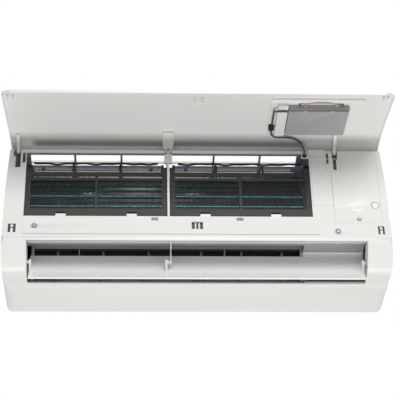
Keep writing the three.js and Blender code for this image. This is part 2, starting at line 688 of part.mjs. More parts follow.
// ---------------------------------------------------------------- cross-flow fan
// One blade's section at radius FAN_R: a thin arc that leans forward, repeated round the ring.
function bladeSection(angle) {
  const steps = 2;
  const outer = [];
  const inner = [];
  for (let i = 0; i <= steps; i++) {
    const share = i / steps;
    const r = THREE.MathUtils.lerp(FAN_INNER_R, FAN_R - 0.4, share);
    const lean = angle + 0.24 * Math.pow(share, 1.8);
    const half = FAN_BLADE_T / 2 / r;
    outer.push([FAN_Y + r * Math.cos(lean - half), FAN_Z + r * Math.sin(lean - half)]);
    inner.push([FAN_Y + r * Math.cos(lean + half), FAN_Z + r * Math.sin(lean + half)]);
  }
  return [...outer, ...inner.reverse()];
}

function ringX(r, bore, x0, x1, sides) {
  return rodX(r, x0, x1, FAN_Y, FAN_Z, sides).subtract(rodX(bore, x0 - 1, x1 + 1, FAN_Y, FAN_Z, sides));
}

function crossFlowFan() {
  const x0 = AIR_LEFT + FAN_END_GAP;
  const x1 = AIR_RIGHT - FAN_END_GAP;
  const pitch = (x1 - x0 - FAN_RING_T) / (FAN_RINGS - 1);
  const rings = Array.from({ length: FAN_RINGS }, (_, i) =>
    ringX(FAN_R, FAN_INNER_R - 3, x0 + i * pitch, x0 + i * pitch + FAN_RING_T, FAN_BLADES));
  const blades = Array.from({ length: FAN_BLADES }, (_, i) =>
    prismX(bladeSection(2 * Math.PI * i / FAN_BLADES), x0 + 0.5, x1 - 0.5));
  const leftDisc = rodX(FAN_INNER_R - 2, x0, x0 + FAN_RING_T, FAN_Y, FAN_Z, FAN_BLADES);
  const rightDisc = rodX(FAN_INNER_R - 2, x1 - FAN_RING_T, x1, FAN_Y, FAN_Z, FAN_BLADES);
  const hub = rodX(SHAFT_R + 6, x1 - 22, x1 + 3, FAN_Y, FAN_Z);
  const stub = rodX(SHAFT_R - 1, AIR_LEFT - BEARING_W + 2, x0 + 1, FAN_Y, FAN_Z, 16);
  return join([...rings, ...blades, leftDisc, rightDisc, hub, stub])
    .subtract(rodX(SHAFT_R + GAP, x1 - 18, x1 + 10, FAN_Y, FAN_Z));
}

function fanMotor() {
  const x0 = AIR_RIGHT + 3 + GAP;
  const profile = [[SHAFT_R + 0.4, 0], [16, 0], [18, 5], [MOTOR_R - 6, 6], [MOTOR_R, 10],
    [MOTOR_R, MOTOR_LENGTH - 8], [MOTOR_R - 5, MOTOR_LENGTH], [0, MOTOR_LENGTH], [0, MOTOR_LENGTH - 8],
    [SHAFT_R + 0.4, MOTOR_LENGTH - 8], [SHAFT_R + 0.4, 0]];
  const geometry = new THREE.LatheGeometry(profile.map(([r, l]) => new THREE.Vector2(r, l)), 24);
  return solid(geometry.rotateZ(-Math.PI / 2).translate(x0, FAN_Y, FAN_Z));
}

function motorBracket() {
  const x0 = AIR_RIGHT + 3 + GAP + 14;
  const ring = rodX(MOTOR_R + GAP + WALL, x0, x0 + 20, FAN_Y, FAN_Z, 24)
    .subtract(rodX(MOTOR_R + GAP, x0 - 1, x0 + 21, FAN_Y, FAN_Z, 24));
  const foot = box(x0, x0 + 20, FAN_Y + MOTOR_R, BACK_Y - WALL - GAP, FAN_Z - 30, FAN_Z - 24)
    .add(box(x0, x0 + 20, FAN_Y + MOTOR_R, BACK_Y - WALL - GAP, FAN_Z + 24, FAN_Z + 30));
  const reach = box(x0, x0 + 20, FAN_Y + 20, FAN_Y + MOTOR_R + 1, FAN_Z - 30, FAN_Z - 24)
    .add(box(x0, x0 + 20, FAN_Y + 20, FAN_Y + MOTOR_R + 1, FAN_Z + 24, FAN_Z + 30))
    .subtract(rodX(MOTOR_R + GAP, x0 - 1, x0 + 21, FAN_Y, FAN_Z, 24));
  return join([ring, foot, reach]);
}

function motorShaft() {
  const x0 = AIR_RIGHT - FAN_END_GAP - 16;
  return rodX(SHAFT_R, x0, AIR_RIGHT + 3 + MOTOR_LENGTH - 10, FAN_Y, FAN_Z, 20);
}

function fanBearing() {
  return ringX(BEARING_R, SHAFT_R - 1 + GAP, AIR_LEFT - BEARING_W + 1, AIR_LEFT + 1, 16)
    .add(ringX(BEARING_R + 4, BEARING_R - 1, AIR_LEFT - BEARING_W + 1, AIR_LEFT - 3 - GAP, 16));
}

// ---------------------------------------------------------------- heat exchanger
// The coil's outer faces make one bent line that follows the filters.
function coilLine() {
  const front = (z) => frontFace(z) + FILTER_SET_IN + FILTER_T + COIL_GAP;
  return [[front(COIL_LOW_Z), COIL_LOW_Z], [front(COIL_BEND_Z), COIL_BEND_Z],
    [COIL_APEX_Y, HEIGHT - COIL_APEX_DROP], [COIL_REAR_Y, COIL_REAR_Z]];
}

// Each slab is a stretch of that line, cut at the bends' mitres.
function slabs() {
  const line = coilLine();
  const inner = offset(line, COIL_T);
  return ['front_lower', 'front_upper', 'rear'].map((part, i) => {
    const outer = inwards(line[i], line[i + 1], SEAM);
    const back = inwards(inner[i], inner[i + 1], SEAM);
    return { name: `coil_${part}`, outline: [outer[0], outer[1], back[1], back[0]] };
  });
}

// The stretch from a to b, shortened at both ends.
function inwards(a, b, by) {
  const share = by / Math.hypot(b[0] - a[0], b[1] - a[1]);
  const at = (t) => [THREE.MathUtils.lerp(a[0], b[0], t), THREE.MathUtils.lerp(a[1], b[1], t)];
  return [at(share), at(1 - share)];
}

function finPack(outline) {
  return prismX([...outline].reverse(), AIR_LEFT + GAP + SHEET_T, AIR_RIGHT - GAP - SHEET_T);
}

// A row of hairpin bends on a slab's end, each a half ring between two tube ends.
function bendsOn([start, end, , inner], x, side) {
  const run = new THREE.Vector2(end[0] - start[0], end[1] - start[1]);
  const length = run.length();
  run.normalize();
  const inward = new THREE.Vector2(run.y, -run.x);
  const lead = Math.max(new THREE.Vector2(inner[0] - start[0], inner[1] - start[1]).dot(run), 0);
  const count = Math.floor((length - lead - 16) / TUBE_PITCH);
  const first = lead + (length - lead - (count - 1) * TUBE_PITCH) / 2;
  const ring = Array.from({ length: 6 }, (_, k) => new THREE.Vector2(
    TUBE_R * Math.cos(k * Math.PI / 3), TUBE_R * Math.sin(k * Math.PI / 3)));
  return Array.from({ length: count }, (_, i) => {
    const at = new THREE.Vector2(...start).addScaledVector(run, first + i * TUBE_PITCH);
    const a = at.clone().addScaledVector(inward, TUBE_R + 1.5);
    const b = at.clone().addScaledVector(inward, COIL_T - TUBE_R - 1.5);
    const bulge = TUBE_BEND * side;
    const curve = new THREE.CatmullRomCurve3([
      new THREE.Vector3(x, a.x, a.y), new THREE.Vector3(x + bulge * 0.6, a.x, a.y),
      new THREE.Vector3(x + bulge, (a.x + b.x) / 2, (a.y + b.y) / 2),
      new THREE.Vector3(x + bulge * 0.6, b.x, b.y), new THREE.Vector3(x, b.x, b.y)]);
    const shape = new THREE.Shape(ring);
    return solid(new THREE.ExtrudeGeometry(shape, { extrudePath: curve, steps: 6, bevelEnabled: false }));
  });
}

// The steel sheet on a slab's end, with the tube bends that stand out of it.
function tubeSheet(outline, side) {
  const edge = side < 0 ? AIR_LEFT + GAP : AIR_RIGHT - GAP;
  const x0 = side < 0 ? edge : edge - SHEET_T + GAP;
  const plate = prismX([...outline].reverse(), x0, x0 + SHEET_T - GAP);
  return join([plate, ...bendsOn(outline, x0 + (SHEET_T - GAP) / 2, side)]);
}

// ---------------------------------------------------------------- filters
// The filter's path: up the front face, then back over the coils in one bend.
function filterPath() {
  const low = FILTER_LOW + FILTER_LIFT;
  const start = [frontFace(low) + FILTER_SET_IN, low];
  const bend = [frontFace(FILTER_FLAT_TOP) + FILTER_SET_IN, FILTER_FLAT_TOP];
  const lean = (bend[0] - start[0]) / (bend[1] - start[1]);
  const corner = [bend[0] + lean * 40, bend[1] + 40];
  const end = [FILTER_END_Y, HEIGHT - FILTER_END_DROP];
  const curve = new THREE.QuadraticBezierCurve(
    new THREE.Vector2(...bend), new THREE.Vector2(...corner), new THREE.Vector2(...end));
  return [start, ...curve.getPoints(7).map((p) => [p.x, p.y])];
}

// The part of a path between two distances along it.
function stretch(path, from, to) {
  const points = [];
  let walked = 0;
  for (let i = 1; i < path.length; i++) {
    const [a, b] = [path[i - 1], path[i]];
    const length = Math.hypot(b[0] - a[0], b[1] - a[1]);
    const at = (d) => [a[0] + (b[0] - a[0]) * (d - walked) / length, a[1] + (b[1] - a[1]) * (d - walked) / length];
    if (points.length === 0 && from <= walked + length - 0.01) points.push(at(from));
    if (points.length > 0 && to > walked + length + 0.01) points.push(b);
    if (to <= walked + length + 0.01) {
      points.push(at(Math.min(to, walked + length)));
      return points;
    }
    walked += length;
  }
  return points;
}

function lengthOf(path) {
  return path.slice(1).reduce((sum, p, i) => sum + Math.hypot(p[0] - path[i][0], p[1] - path[i][1]), 0);
}

function strip(path, from, to, x0, x1, thickness) {
  return prismX(wallAlong(stretch(path, from, to), thickness).reverse(), x0, x1);
}

function filterFrame(x0, x1) {
  const path = filterPath();
  const full = lengthOf(path);
  const flat = FILTER_FLAT_TOP - FILTER_LOW - FILTER_LIFT;
  const third = (x1 - x0) / 3;
  const bars = [
    strip(path, 0, full, x0, x0 + FILTER_RIM, FILTER_T),
    strip(path, 0, full, x1 - FILTER_RIM, x1, FILTER_T),
    strip(path, 0, FILTER_FOOT - FILTER_LIFT, x0, x1, FILTER_T),
    strip(path, flat - 20, flat - 13, x0, x1, FILTER_T),
    strip(path, flat - 9, flat, x0, x1, FILTER_T),
    strip(path, full - 7, full, x0, x1, FILTER_T),
    strip(path, 5, flat - 5, (x0 + x1) / 2 - 2.5, (x0 + x1) / 2 + 2.5, FILTER_T),
    strip(path, flat - 16, full - 3, x0 + third - 2, x0 + third + 2, FILTER_T),
    strip(path, flat - 16, full - 3, x1 - third - 2, x1 - third + 2, FILTER_T),
  ];
  let frame = join(bars).subtract(headWay());
  for (const x of filterTabs().filter((at) => at > x0 && at < x1)) {
    frame = frame.subtract(box(x - TAB_W / 2 - GAP, x + TAB_W / 2 + GAP, -FAR, 0, FILTER_LOW - 5,
      FILTER_LOW + TAB_H + 4));
  }
  return frame;
}

// The corner left free where a filter slides out past the mullion's head.
function headWay() {
  const half = HEAD_WIDTH / 2 + HEAD_CLEARANCE;
  return box(OPEN_MID - half, OPEN_MID + half, LIP_Y, 0, RAIL_LOW - HEAD_LENGTH - 7, HEIGHT + 10);
}

// The filter's net, drawn coarse: a thin sheet behind the frame with a pattern of windows.
function filterNet(x0, x1) {
  const behind = offset(filterPath(), FILTER_T + GAP);
  const from = 7;
  const to = lengthOf(behind) - 2;
  const left = x0 + 3;
  const right = x1 - 3;
  const pitchX = (right - left - NET_STRAND) / NET_COLUMNS;
  const pitchS = (to - from - NET_STRAND) / NET_ROWS;
  let net = strip(behind, from, to, left, right, NET_T);
  for (let row = 0; row < NET_ROWS; row++) {
    const start = from + row * pitchS + NET_STRAND;
    const across = stretch(behind, start, start + pitchS - NET_STRAND);
    const outline = wallAlong(offset(across, -1), NET_T + 2).reverse();
    for (let column = 0; column < NET_COLUMNS; column++) {
      const side = left + column * pitchX + NET_STRAND;
      net = net.subtract(prismX(outline, side, side + pitchX - NET_STRAND));
    }
  }
  return net.subtract(headWay());
}

// ---------------------------------------------------------------- front panel
function panelPath() {
  return smooth([[PIVOT_Y - 10, PANEL_TOP], [LIP_Y + 11, PANEL_TOP - 18], [LIP_Y + 4, PANEL_TOP - 44],
    [LIP_Y - 1, PANEL_TOP - 77], [LIP_Y - 3.5, PANEL_TOP - 117], [LIP_Y - 3.5, PANEL_LOW + 48],
    [LIP_Y - 2, PANEL_LOW]], 14);
}

function panelInnerY(z) {
  const path = offset(panelPath(), -PANEL_T);
  for (let i = 1; i < path.length; i++) {
    const [a, b] = [path[i - 1], path[i]];
    if (b[1] <= z) return a[0] + (b[0] - a[0]) * (a[1] - z) / (a[1] - b[1]);
  }
  return path[path.length - 1][0];
}

function panelArm(x, low) {
  const high = PIVOT_Z - 14;
  const reach = [[PIVOT_Y - 1, PIVOT_Z + 4], [PIVOT_Y - 13, PIVOT_Z], [panelInnerY(high) - 1, high],
    [panelInnerY(low) - 1, low], [panelInnerY(low) + 4, low - 2], [PIVOT_Y - 10, high], [PIVOT_Y + 1, PIVOT_Z - 4]];
  return join([
    prismX(reach, x - ARM_T / 2, x + ARM_T / 2),
    rodX(ARM_EYE_R, x - ARM_T / 2, x + ARM_T / 2, PIVOT_Y, PIVOT_Z, 20),
  ]);
}

// Two prongs and a bridge that push into a latch socket when the panel shuts.
function panelCatch(x, z, gauge) {
  const inner = panelInnerY(z);
  const tip = frontFace(z) + WALL + 1;
  const half = CLIP_PRONG_H / 2;
  const prong = (at) => box(at - CLIP_PRONG_T / 2, at + CLIP_PRONG_T / 2, inner - 1, tip, z - half, z + half);
  return join([prong(x - gauge / 2), prong(x + gauge / 2),
    box(x - gauge / 2, x + gauge / 2, inner - 1, inner + 1, z - half, z + half)]);
}

function frontPanel() {
  const path = panelPath();
  const rim = -PANEL_T - 3;
  const low = path[path.length - 1];
  const sheet = prismX(wallAlong(path, -PANEL_T).reverse(), -HALF, HALF);
  const flange = box(-HALF, HALF, low[0], low[0] + PANEL_FLANGE, low[1] + 0.05, low[1] + PANEL_T);
  const deep = prismX(wallAlong(stretch(path, 4, lengthOf(path) - 1), rim).reverse(), -HALF, HALF);
  const within = (inset) => prismY(roundedRect(-HALF, HALF, PANEL_LOW - 1, HALF, PANEL_ROUND, 1, 5), -FAR, 0)
    .intersect(prismY(leaningOutline(inset, 0, PANEL_TOP + 1), -FAR, 0));
  const ends = deep.subtract(within(PANEL_SIDE_GAP + PANEL_T));
  const body = join([sheet, flange, ends]).intersect(within(PANEL_SIDE_GAP));
  return join([body, panelArm(ARM_LEFT_X, ARM_LEFT_LOW), panelArm(ARM_RIGHT_X, ARM_RIGHT_LOW),
    panelCatch(-HALF + 18, 88.5, 9.4), panelCatch(0, 95, 13.6), panelCatch(HALF - 18.5, 86, 8.2)]);
}

function centreHinge() {
  const face = [38, 26, 16, 6].map((drop) => [panelInnerY(PIVOT_Z - drop) + GAP, PIVOT_Z - drop]);
  const back = face.map(([y, z]) => [y + 4, z - 1]).reverse();
  const prong = [[PIVOT_Y + 1, PIVOT_Z - 2.5], [PIVOT_Y + 2.5, PIVOT_Z], [PIVOT_Y + 1, PIVOT_Z + 2.5],
    [PIVOT_Y - 3, PIVOT_Z + 2.5], [PIVOT_Y - 16, PIVOT_Z - 6], [PIVOT_Y - 16, PIVOT_Z - 14]];
  const web = [[PIVOT_Y - 6, PIVOT_Z - 1], [PIVOT_Y - 6, PIVOT_Z + 2], [PIVOT_Y - 16, PIVOT_Z - 6],
    [PIVOT_Y - 16, PIVOT_Z - 14]];
  return join([prismX([...face, ...back], OPEN_MID - BRACKET_HALF, OPEN_MID + BRACKET_HALF),
    prismX([...web].reverse(), OPEN_MID - BRACKET_HALF + 1, OPEN_MID + BRACKET_HALF - 1),
    ...[-PRONG_SET, PRONG_SET].map((at) =>
      prismX([...prong].reverse(), OPEN_MID + at - PRONG_T / 2, OPEN_MID + at + PRONG_T / 2))]);
}

function displayCase() {
  const slope = (z) => panelInnerY(z) + BRACKET_T + 3 * GAP;
  const levels = [DISPLAY_Z0, (DISPLAY_Z0 + DISPLAY_Z1) / 2, DISPLAY_Z1];
  const base = levels.map((z) => [Math.max(slope(z), slope(DISPLAY_Z0)), z]);
  const cover = [[base[2][0] + DISPLAY_DEPTH - 3, DISPLAY_Z1], [base[0][0] + DISPLAY_DEPTH, DISPLAY_Z0 + 3],
    [base[0][0] + DISPLAY_DEPTH - 1, DISPLAY_Z0]];
  const bossY = base[0][0] + DISPLAY_DEPTH;
  const bosses = [DISPLAY_X0 + 30, DISPLAY_X0 + 81].map((x) =>
    rodY(4.5, 4.5, x, bossY - 6, bossY + 0.8, DISPLAY_Z0 + 8, 18)
      .subtract(rodY(1.8, 1.8, x, bossY - 3, bossY + 2, DISPLAY_Z0 + 8, 12)));
  return join([prismX([...base, ...cover], DISPLAY_X0, DISPLAY_X1), ...bosses]);
}

// The white plate that carries the display, with a raised rim on its left for the cable.
function displayBracket() {
  const x0 = CABLE_X - 7;
  const x1 = DISPLAY_X1 + 6;
  const low = DISPLAY_Z0 - 15;
  const high = DISPLAY_Z1 + 6;
  const levels = [low, low + 35, low + 70, low + 100, high];
  const front = levels.map((z) => [panelInnerY(z) + GAP, z]);
  const back = levels.map((z) => [panelInnerY(z) + GAP + BRACKET_T, z]).reverse();
  const rimBack = [[panelInnerY(high) + 8, high], [panelInnerY(low + 7) + 10, low + 7]];
  const rimFace = [low + 7, low + 65, high].map((z) => [panelInnerY(z) + GAP + 1, z]);
  const rim = prismX([...rimFace, ...rimBack], CABLE_X + 6.5, CABLE_X + 6.5 + BRACKET_RIM);
  const ledgeFace = [low - 7, low + 1].map((z) => [panelInnerY(z) + GAP, z]);
  const ledgeBack = [[panelInnerY(low + 1) + 6, low + 1], [panelInnerY(low - 7) + 3, low - 7]];
  const ledge = prismX([...ledgeFace, ...ledgeBack], x0, LEDGE_END);
  return join([prismX([...front, ...back], x0, x1), rim, ledge]);
}

function tubeAlong(points, r, steps) {
  const curve = new THREE.CatmullRomCurve3(points.map((p) => new THREE.Vector3(...p)), false, 'centripetal');
  const ring = Array.from({ length: 8 }, (_, k) => new THREE.Vector2(
    r * Math.cos(k * Math.PI / 4), r * Math.sin(k * Math.PI / 4)));
  return solid(new THREE.ExtrudeGeometry(new THREE.Shape(ring),
    { extrudePath: curve, steps, bevelEnabled: false }));
}

// The display's lead, held along the panel: from the case down the plate's left side, through
// the clip and across to the hinge. Closed-panel coordinates, the depth measured off the inner face.
const LEAD_ALONG_PLATE = [[DISPLAY_X0 - 2.5, 8, 13.5], [CABLE_X + 16, 7, 13.6], [CABLE_X + 7, 8, 13.2],
  [CABLE_X + 1.5, 13, 11], [CABLE_X, 22, 7], [CABLE_X, 36, 6.2], [CABLE_X, 52, 6.2], [CABLE_X, 68, 6.2],
  [CABLE_X, 84, 6.2], [CABLE_X, 98, 6.2], [CABLE_X + 1.6, 111, 6.6]].map(([x, up, off]) => [x, DISPLAY_Z0 + up, off]);
const LEAD_TO_HINGE = [[56, 30.5, 6.4], [41, 28, 5], [29, 25, 4.2], [19, 21, 3.6], [11, 14, 3.4], [5, 7, 3.4]]
  .map(([left, drop, off]) => [GROMMET_X - left, PIVOT_Z - drop, off]);

// Two thin wires that arch from one end of the case to the other, between the case and the ledge.
const WIRES = {
  display_wire_dark: [[19, 0.6, 5], [19, 4, 5], [22, 8.5, 4.7], [32, 10.5, 4.6], [50, 11, 4.6],
    [70, 10.5, 4.6], [88, 8.5, 4.7], [98, 6.5, 4.9], [100, 3, 5], [100, 0.6, 5]],
  display_wire_light: [[30, 0.6, 7.6], [30, 4, 7.6], [32, 8.5, 7.4], [42, 11.5, 7.3], [60, 12.4, 7.3],
    [76, 11.5, 7.3], [86, 8.5, 7.4], [89, 4, 7.6], [89, 0.6, 7.6]],
};

function displayWire(points) {
  return tubeAlong(points.map(([right, drop, off]) =>
    [DISPLAY_X0 + right, panelInnerY(DISPLAY_Z0 - drop) + off, DISPLAY_Z0 - drop]), WIRE_R, 14);
}

function displayLead() {
  return tubeAlong([...LEAD_ALONG_PLATE, ...LEAD_TO_HINGE].map(([x, z, off]) =>
    [x, panelInnerY(z) + off, z]), CABLE_R, 26);
}

// The lead's free loop over the hinge, drawn with the panel open, from the panel to the grommet.
const LEAD_OVER_HINGE = [[3.8, 3.4, 21], [2.5, 2.4, 18], [1, 2.4, 14], [0, 3.6, 9.5], [0, 5.2, 5.5],
  [-0.2, 5.6, 2.6], [0, 4.6, 0.4], [0, 3, 0]]
  .map(([left, out, up]) => [GROMMET_X - left, RAIL_Y - out, GROMMET_Z + up]);

function hingeLead() {
  return tubeAlong(LEAD_OVER_HINGE, CABLE_R, 10);
}

function leadClip() {
  const z0 = DISPLAY_Z0 + 80;
  const z1 = z0 + 12;
  const y = (z) => panelInnerY(z);
  const foot = BRACKET_T + 3 * GAP;
  const outer = prismX([[y(z0) + foot, z0], [y(z1) + foot, z1], [y(z1) + 10.5, z1], [y(z0) + 10.5, z0]],
    CABLE_X - 6, CABLE_X + 4.2);
  const channel = prismX([[y(z0) + 3.6, z0 - 1], [y(z1) + 3.6, z1 + 1], [y(z1) + 8.6, z1 + 1], [y(z0) + 8.6, z0 - 1]],
    CABLE_X - 4, CABLE_X + 2.6);
  return outer.subtract(channel);
}

function grommet() {
  const y = RAIL_Y;
  return rodY(GROMMET_R - 0.8, GROMMET_R, GROMMET_X, y - 2.2, y - GAP, GROMMET_Z, 20)
    .add(rodY(GROMMET_R - 1.4, GROMMET_R - 1.4, GROMMET_X, y - 1, y + WALL + 2, GROMMET_Z, 20));
}

// ---------------------------------------------------------------- flap
function flapFrame() {
  // The shut flap's chord runs from its front edge down and back to its rear edge.
  const along = THREE.MathUtils.degToRad(FLAP_SHUT);
  const front = new THREE.Vector2(Math.cos(along), Math.sin(along));
  const inward = new THREE.Vector2(front.y, -front.x);
  return { front, inward };
}

function flapPoint(along, out) {
  const { front, inward } = flapFrame();
  return [FLAP_Y + front.x * along - inward.x * out, FLAP_Z + front.y * along - inward.y * out];
}

function flapSolid() {
  const steps = 8;
  const bulge = (share) => FLAP_OFFSET + FLAP_BULGE * Math.sin(Math.PI * share) - 2;
  const inner = Array.from({ length: steps + 1 }, (_, i) => {
    const share = i / steps;
    return flapPoint(THREE.MathUtils.lerp(-FLAP_REAR, FLAP_FRONT, share), bulge(share));
  });
  const outer = inner.map((_, i) => {
    const share = i / steps;
    return flapPoint(THREE.MathUtils.lerp(-FLAP_REAR, FLAP_FRONT, share), bulge(share) + FLAP_T);
  });
  const half = OUTLET_HALF - FLAP_END_GAP;
  const sheet = prismX([...inner, ...outer.reverse()], -half, half);
  const root = FLAP_OFFSET + FLAP_BULGE - 0.5;
  const ear = (x) => prismX([flapPoint(-14, root), flapPoint(16, root),
    flapPoint(6, -4), flapPoint(0, -6), flapPoint(-6, -3)], x, x + EAR_T);
  const pin = (x0, x1) => rodX(FLAP_PIN_R, x0, x1, FLAP_Y, FLAP_Z, 16);
  return join([sheet, ear(-half), ear(half - EAR_T), ear(OPEN_MID - EAR_T - 2),
    pin(-OUTLET_HALF - CHEEK_T - 1, -half + 1), pin(half - 1, OUTLET_HALF + CHEEK_T + 1),
    pin(OPEN_MID - 3, OPEN_MID + EAR_T + 1.5)]);
}

function flapMotor() {
  const x0 = OUTLET_HALF + CHEEK_T + GAP;
  return rodX(12, x0, x0 + 18, FLAP_Y, FLAP_Z, 28)
    .subtract(rodX(FLAP_PIN_R + PIN_PLAY, x0 - 1, x0 + 4, FLAP_Y, FLAP_Z, 16))
    .add(box(x0 + 6, x0 + 16, FLAP_Y + 8, FLAP_Y + 18, FLAP_Z - 6, FLAP_Z + 6));
}

// ---------------------------------------------------------------- vertical vanes
function scrollZ(y) {
  const path = scrollPath();
  for (let i = 1; i < path.length; i++) {
    if (path[i][0] >= y) {
      const [a, b] = [path[i - 1], path[i]];
      return a[1] + (b[1] - a[1]) * (y - a[0]) / (b[0] - a[0]);
    }
  }
  return path[0][1];
}

function vanePlaces() {
  const left = [0.116, 0.274, 0.432].map((share) => THREE.MathUtils.lerp(OPEN_LEFT, OPEN_RIGHT, share));
  const right = [0.616, 0.7575, 0.899].map((share) => THREE.MathUtils.lerp(OPEN_LEFT, OPEN_RIGHT, share));
  return [left.slice(0, VANES_PER_GROUP), right.slice(0, VANES_PER_GROUP)];
}

// A vane hangs from its pin; its lower edge follows the duct floor, its top clears the fan.
function vane() {
  const y0 = VANE_AXIS_Y - VANE_FRONT;
  const y1 = VANE_AXIS_Y + VANE_REAR;
  const linkY = VANE_AXIS_Y + LINK_OFFSET;
  const low = (y) => scrollZ(y) + VANE_FLOOR_GAP;
  const outline = [[y0, low(y0) + 1], [VANE_AXIS_Y, low(VANE_AXIS_Y)], [VANE_AXIS_Y + 14, low(VANE_AXIS_Y + 14)],
    [y1, low(y1)], [y1, VANE_TOP - 7], [linkY, VANE_TOP - 3], [VANE_AXIS_Y + 4, VANE_TOP], [y0, VANE_TOP]];
  const notch = box(-5, 5, linkY - LINK_W / 2 - 1.5, linkY + LINK_W / 2 + 1.5, LINK_Z - 1, LINK_Z + LINK_T + 1);
  const linkPin = rodZ(VANE_PIN_R - 0.8, 0, linkY, LINK_Z - 1.5, LINK_Z + LINK_T + 1.5, 10);
  const neck = rodZ(VANE_PIN_R, 0, VANE_AXIS_Y, VANE_TOP - 6, VANE_TOP + SHELF_T + 1.5, 12);
  return prismX(outline.reverse(), -VANE_T / 2, VANE_T / 2).subtract(notch).add(linkPin).add(neck)
    .translate([0, -VANE_AXIS_Y, 0]);
}

function linkBar(span) {
  const reach = span * (VANES_PER_GROUP - 1);
  const bar = box(-5, reach + 5, -LINK_W / 2, LINK_W / 2, LINK_Z, LINK_Z + LINK_T);
  return Array.from({ length: VANES_PER_GROUP }, (_, i) => i * span).reduce((rest, x) =>
    rest.subtract(rodZ(VANE_PIN_R - 0.8 + LINK_PLAY, x, 0, LINK_Z - 1, LINK_Z + LINK_T + 1, 12)), bar);
}

// The grey frame at the throat: a front bar, a shelf that takes the vane pins, end posts and ribs.
function vaneFrame() {
  const x0 = -OUTLET_HALF + 6;
  const x1 = AIR_RIGHT - 2 - SEAM;
  const y0 = VANE_FRAME_Y + GAP;
  const shelfZ = VANE_TOP + GAP;
  const front = box(x0, x1, y0, y0 + VANE_FRAME_T, shelfZ - 3, 86 - GAP);
  const shelf = box(x0, x1, y0, VANE_AXIS_Y + 3.5, shelfZ, shelfZ + SHELF_T);
  const post = (x, w) => prismX([[y0, shelfZ + 1], [y0, 74], [CHIN_LIP_Y - 1, 62], [CHIN_LIP_Y + 4, 50],
    [CHIN_LIP_Y + 4.5, CHIN_LIP_Z + 8], [CHIN_LIP_Y + 6.5, CHIN_LIP_Z + 8], [CHIN_LIP_Y + 6.5, 55], [y0 + VANE_FRAME_T + 2, shelfZ + 1]].reverse(), x, x + w);
  const holes = vanePlaces().flat().map((x) =>
    rodZ(VANE_PIN_R + GAP, x, VANE_AXIS_Y, shelfZ - 5, shelfZ + SHELF_T + 5, 16));
  const ribs = [0.189, 0.695].map((share) => post(THREE.MathUtils.lerp(OPEN_LEFT, OPEN_RIGHT, share), 1.6));
  const body = join([front, shelf, post(x0, 5), post(x1 - 5, 5), ...ribs]);
  return holes.reduce((rest, hole) => rest.subtract(hole), body);
}

// The upright in the middle of the outlet that carries the flap's middle bearing.
function centreSupport() {
  const top = [-25, -10, 12].map((at) => [FLAP_Y + at, roofLow(FLAP_Y + at) - GAP]);
  const outline = [...top, [FLAP_Y + 11, 55], [FLAP_Y + 6, FLAP_Z + 3.5], [FLAP_Y + 4, FLAP_Z - 5],
    [FLAP_Y - 4, FLAP_Z - 5], [FLAP_Y - 7, FLAP_Z + 5.5], [FLAP_Y - 11, 52]];
  return prismX(outline, OPEN_MID + EAR_T - 1, OPEN_MID + EAR_T + 1)
    .subtract(rodX(FLAP_PIN_R + PIN_PLAY, OPEN_MID, OPEN_MID + 10, FLAP_Y, FLAP_Z));
}

// ---------------------------------------------------------------- electrical side
function electricalBox() {
  const z0 = CONTROL_LOW + 2;
  const z1 = RAIL_LOW - 8;
  const rim = Array.from({ length: 6 }, (_, i) => {
    const z = THREE.MathUtils.lerp(z1, z0, i / 5);
    return [frontFace(z) + WALL + SEAM, z];
  });
  const back = rim[5][0] + BOX_DEPTH;
  const x0 = TERMINAL_X0 - 1;
  const x1 = CONTROL_X1 - 1;
  const tray = prismX([...rim, [back, z0], [back, z1]], x0, x1).subtract(
    box(x0 + BOX_WALL, x1 - BOX_WALL, -FAR, back - BOX_WALL, z0 + BOX_WALL, z1 - BOX_WALL));
  const [sx, sz] = SCREW_PLACES.screw_cover;
  const boss = box(sx - 5, sx + 5, rim[5][0] + 1.5, rim[5][0] + SCREW_LENGTH, z0 + 1, sz + 6)
    .subtract(rodY(SCREW_R + GAP, SCREW_R + GAP, sx, rim[5][0] - 20, rim[5][0] + SCREW_LENGTH + 5, sz, 12));
  return tray.add(boss);
}

function boxBackY() {
  return frontFace(CONTROL_LOW + 2) + WALL + SEAM + BOX_DEPTH - BOX_WALL;
}

function controlBoard() {
  const y = boxBackY() - GAP;
  const x0 = TERMINAL_X1 + 6;
  const x1 = CONTROL_X1 - 8;
  const board = box(x0, x1, y - 1.6, y, CONTROL_LOW + 10, RAIL_LOW - 52);
  const parts = [[x0 + 10, 30, 130, 40], [x0 + 46, 22, 128, 18], [x0 + 14, 18, 184, 14]];
  return join([board, ...parts.map(([x, w, z, h]) => box(x, x + w, y - 13, y - 1, z, z + h))]);
}

function terminalBlock() {
  const y = boxBackY() - GAP;
  const x0 = TERMINAL_X0 + 5;
  const steps = Array.from({ length: 4 }, (_, i) => box(x0 + 4, x0 + 20, y - 14, y - 8, 156 + i * 14, 164 + i * 14));
  return join([box(x0, x0 + 24, y - 9, y, 152, 212), ...steps]);
}

function manualButton() {
  const y = frontFace(BUTTON_Z);
  return rodY(BUTTON_R - 0.6, BUTTON_R, BUTTON_X, y - 0.6, y + 1, BUTTON_Z, 28)
    .add(rodY(BUTTON_R, BUTTON_R, BUTTON_X, y + 0.5, y + BUTTON_LENGTH, BUTTON_Z, 28));
}

function screw(x, z, seat) {
  const cross = box(x - 2.4, x + 2.4, seat - 4, seat - 1.2, z - 0.5, z + 0.5)
    .add(box(x - 0.5, x + 0.5, seat - 4, seat - 1.2, z - 2.4, z + 2.4));
  return rodY(SCREW_HEAD_R - 1.4, SCREW_HEAD_R, x, seat - 2.2, seat, z, 20)
    .add(rodY(SCREW_R, SCREW_R, x, seat - 0.5, seat + SCREW_LENGTH, z, 12)).subtract(cross);
}

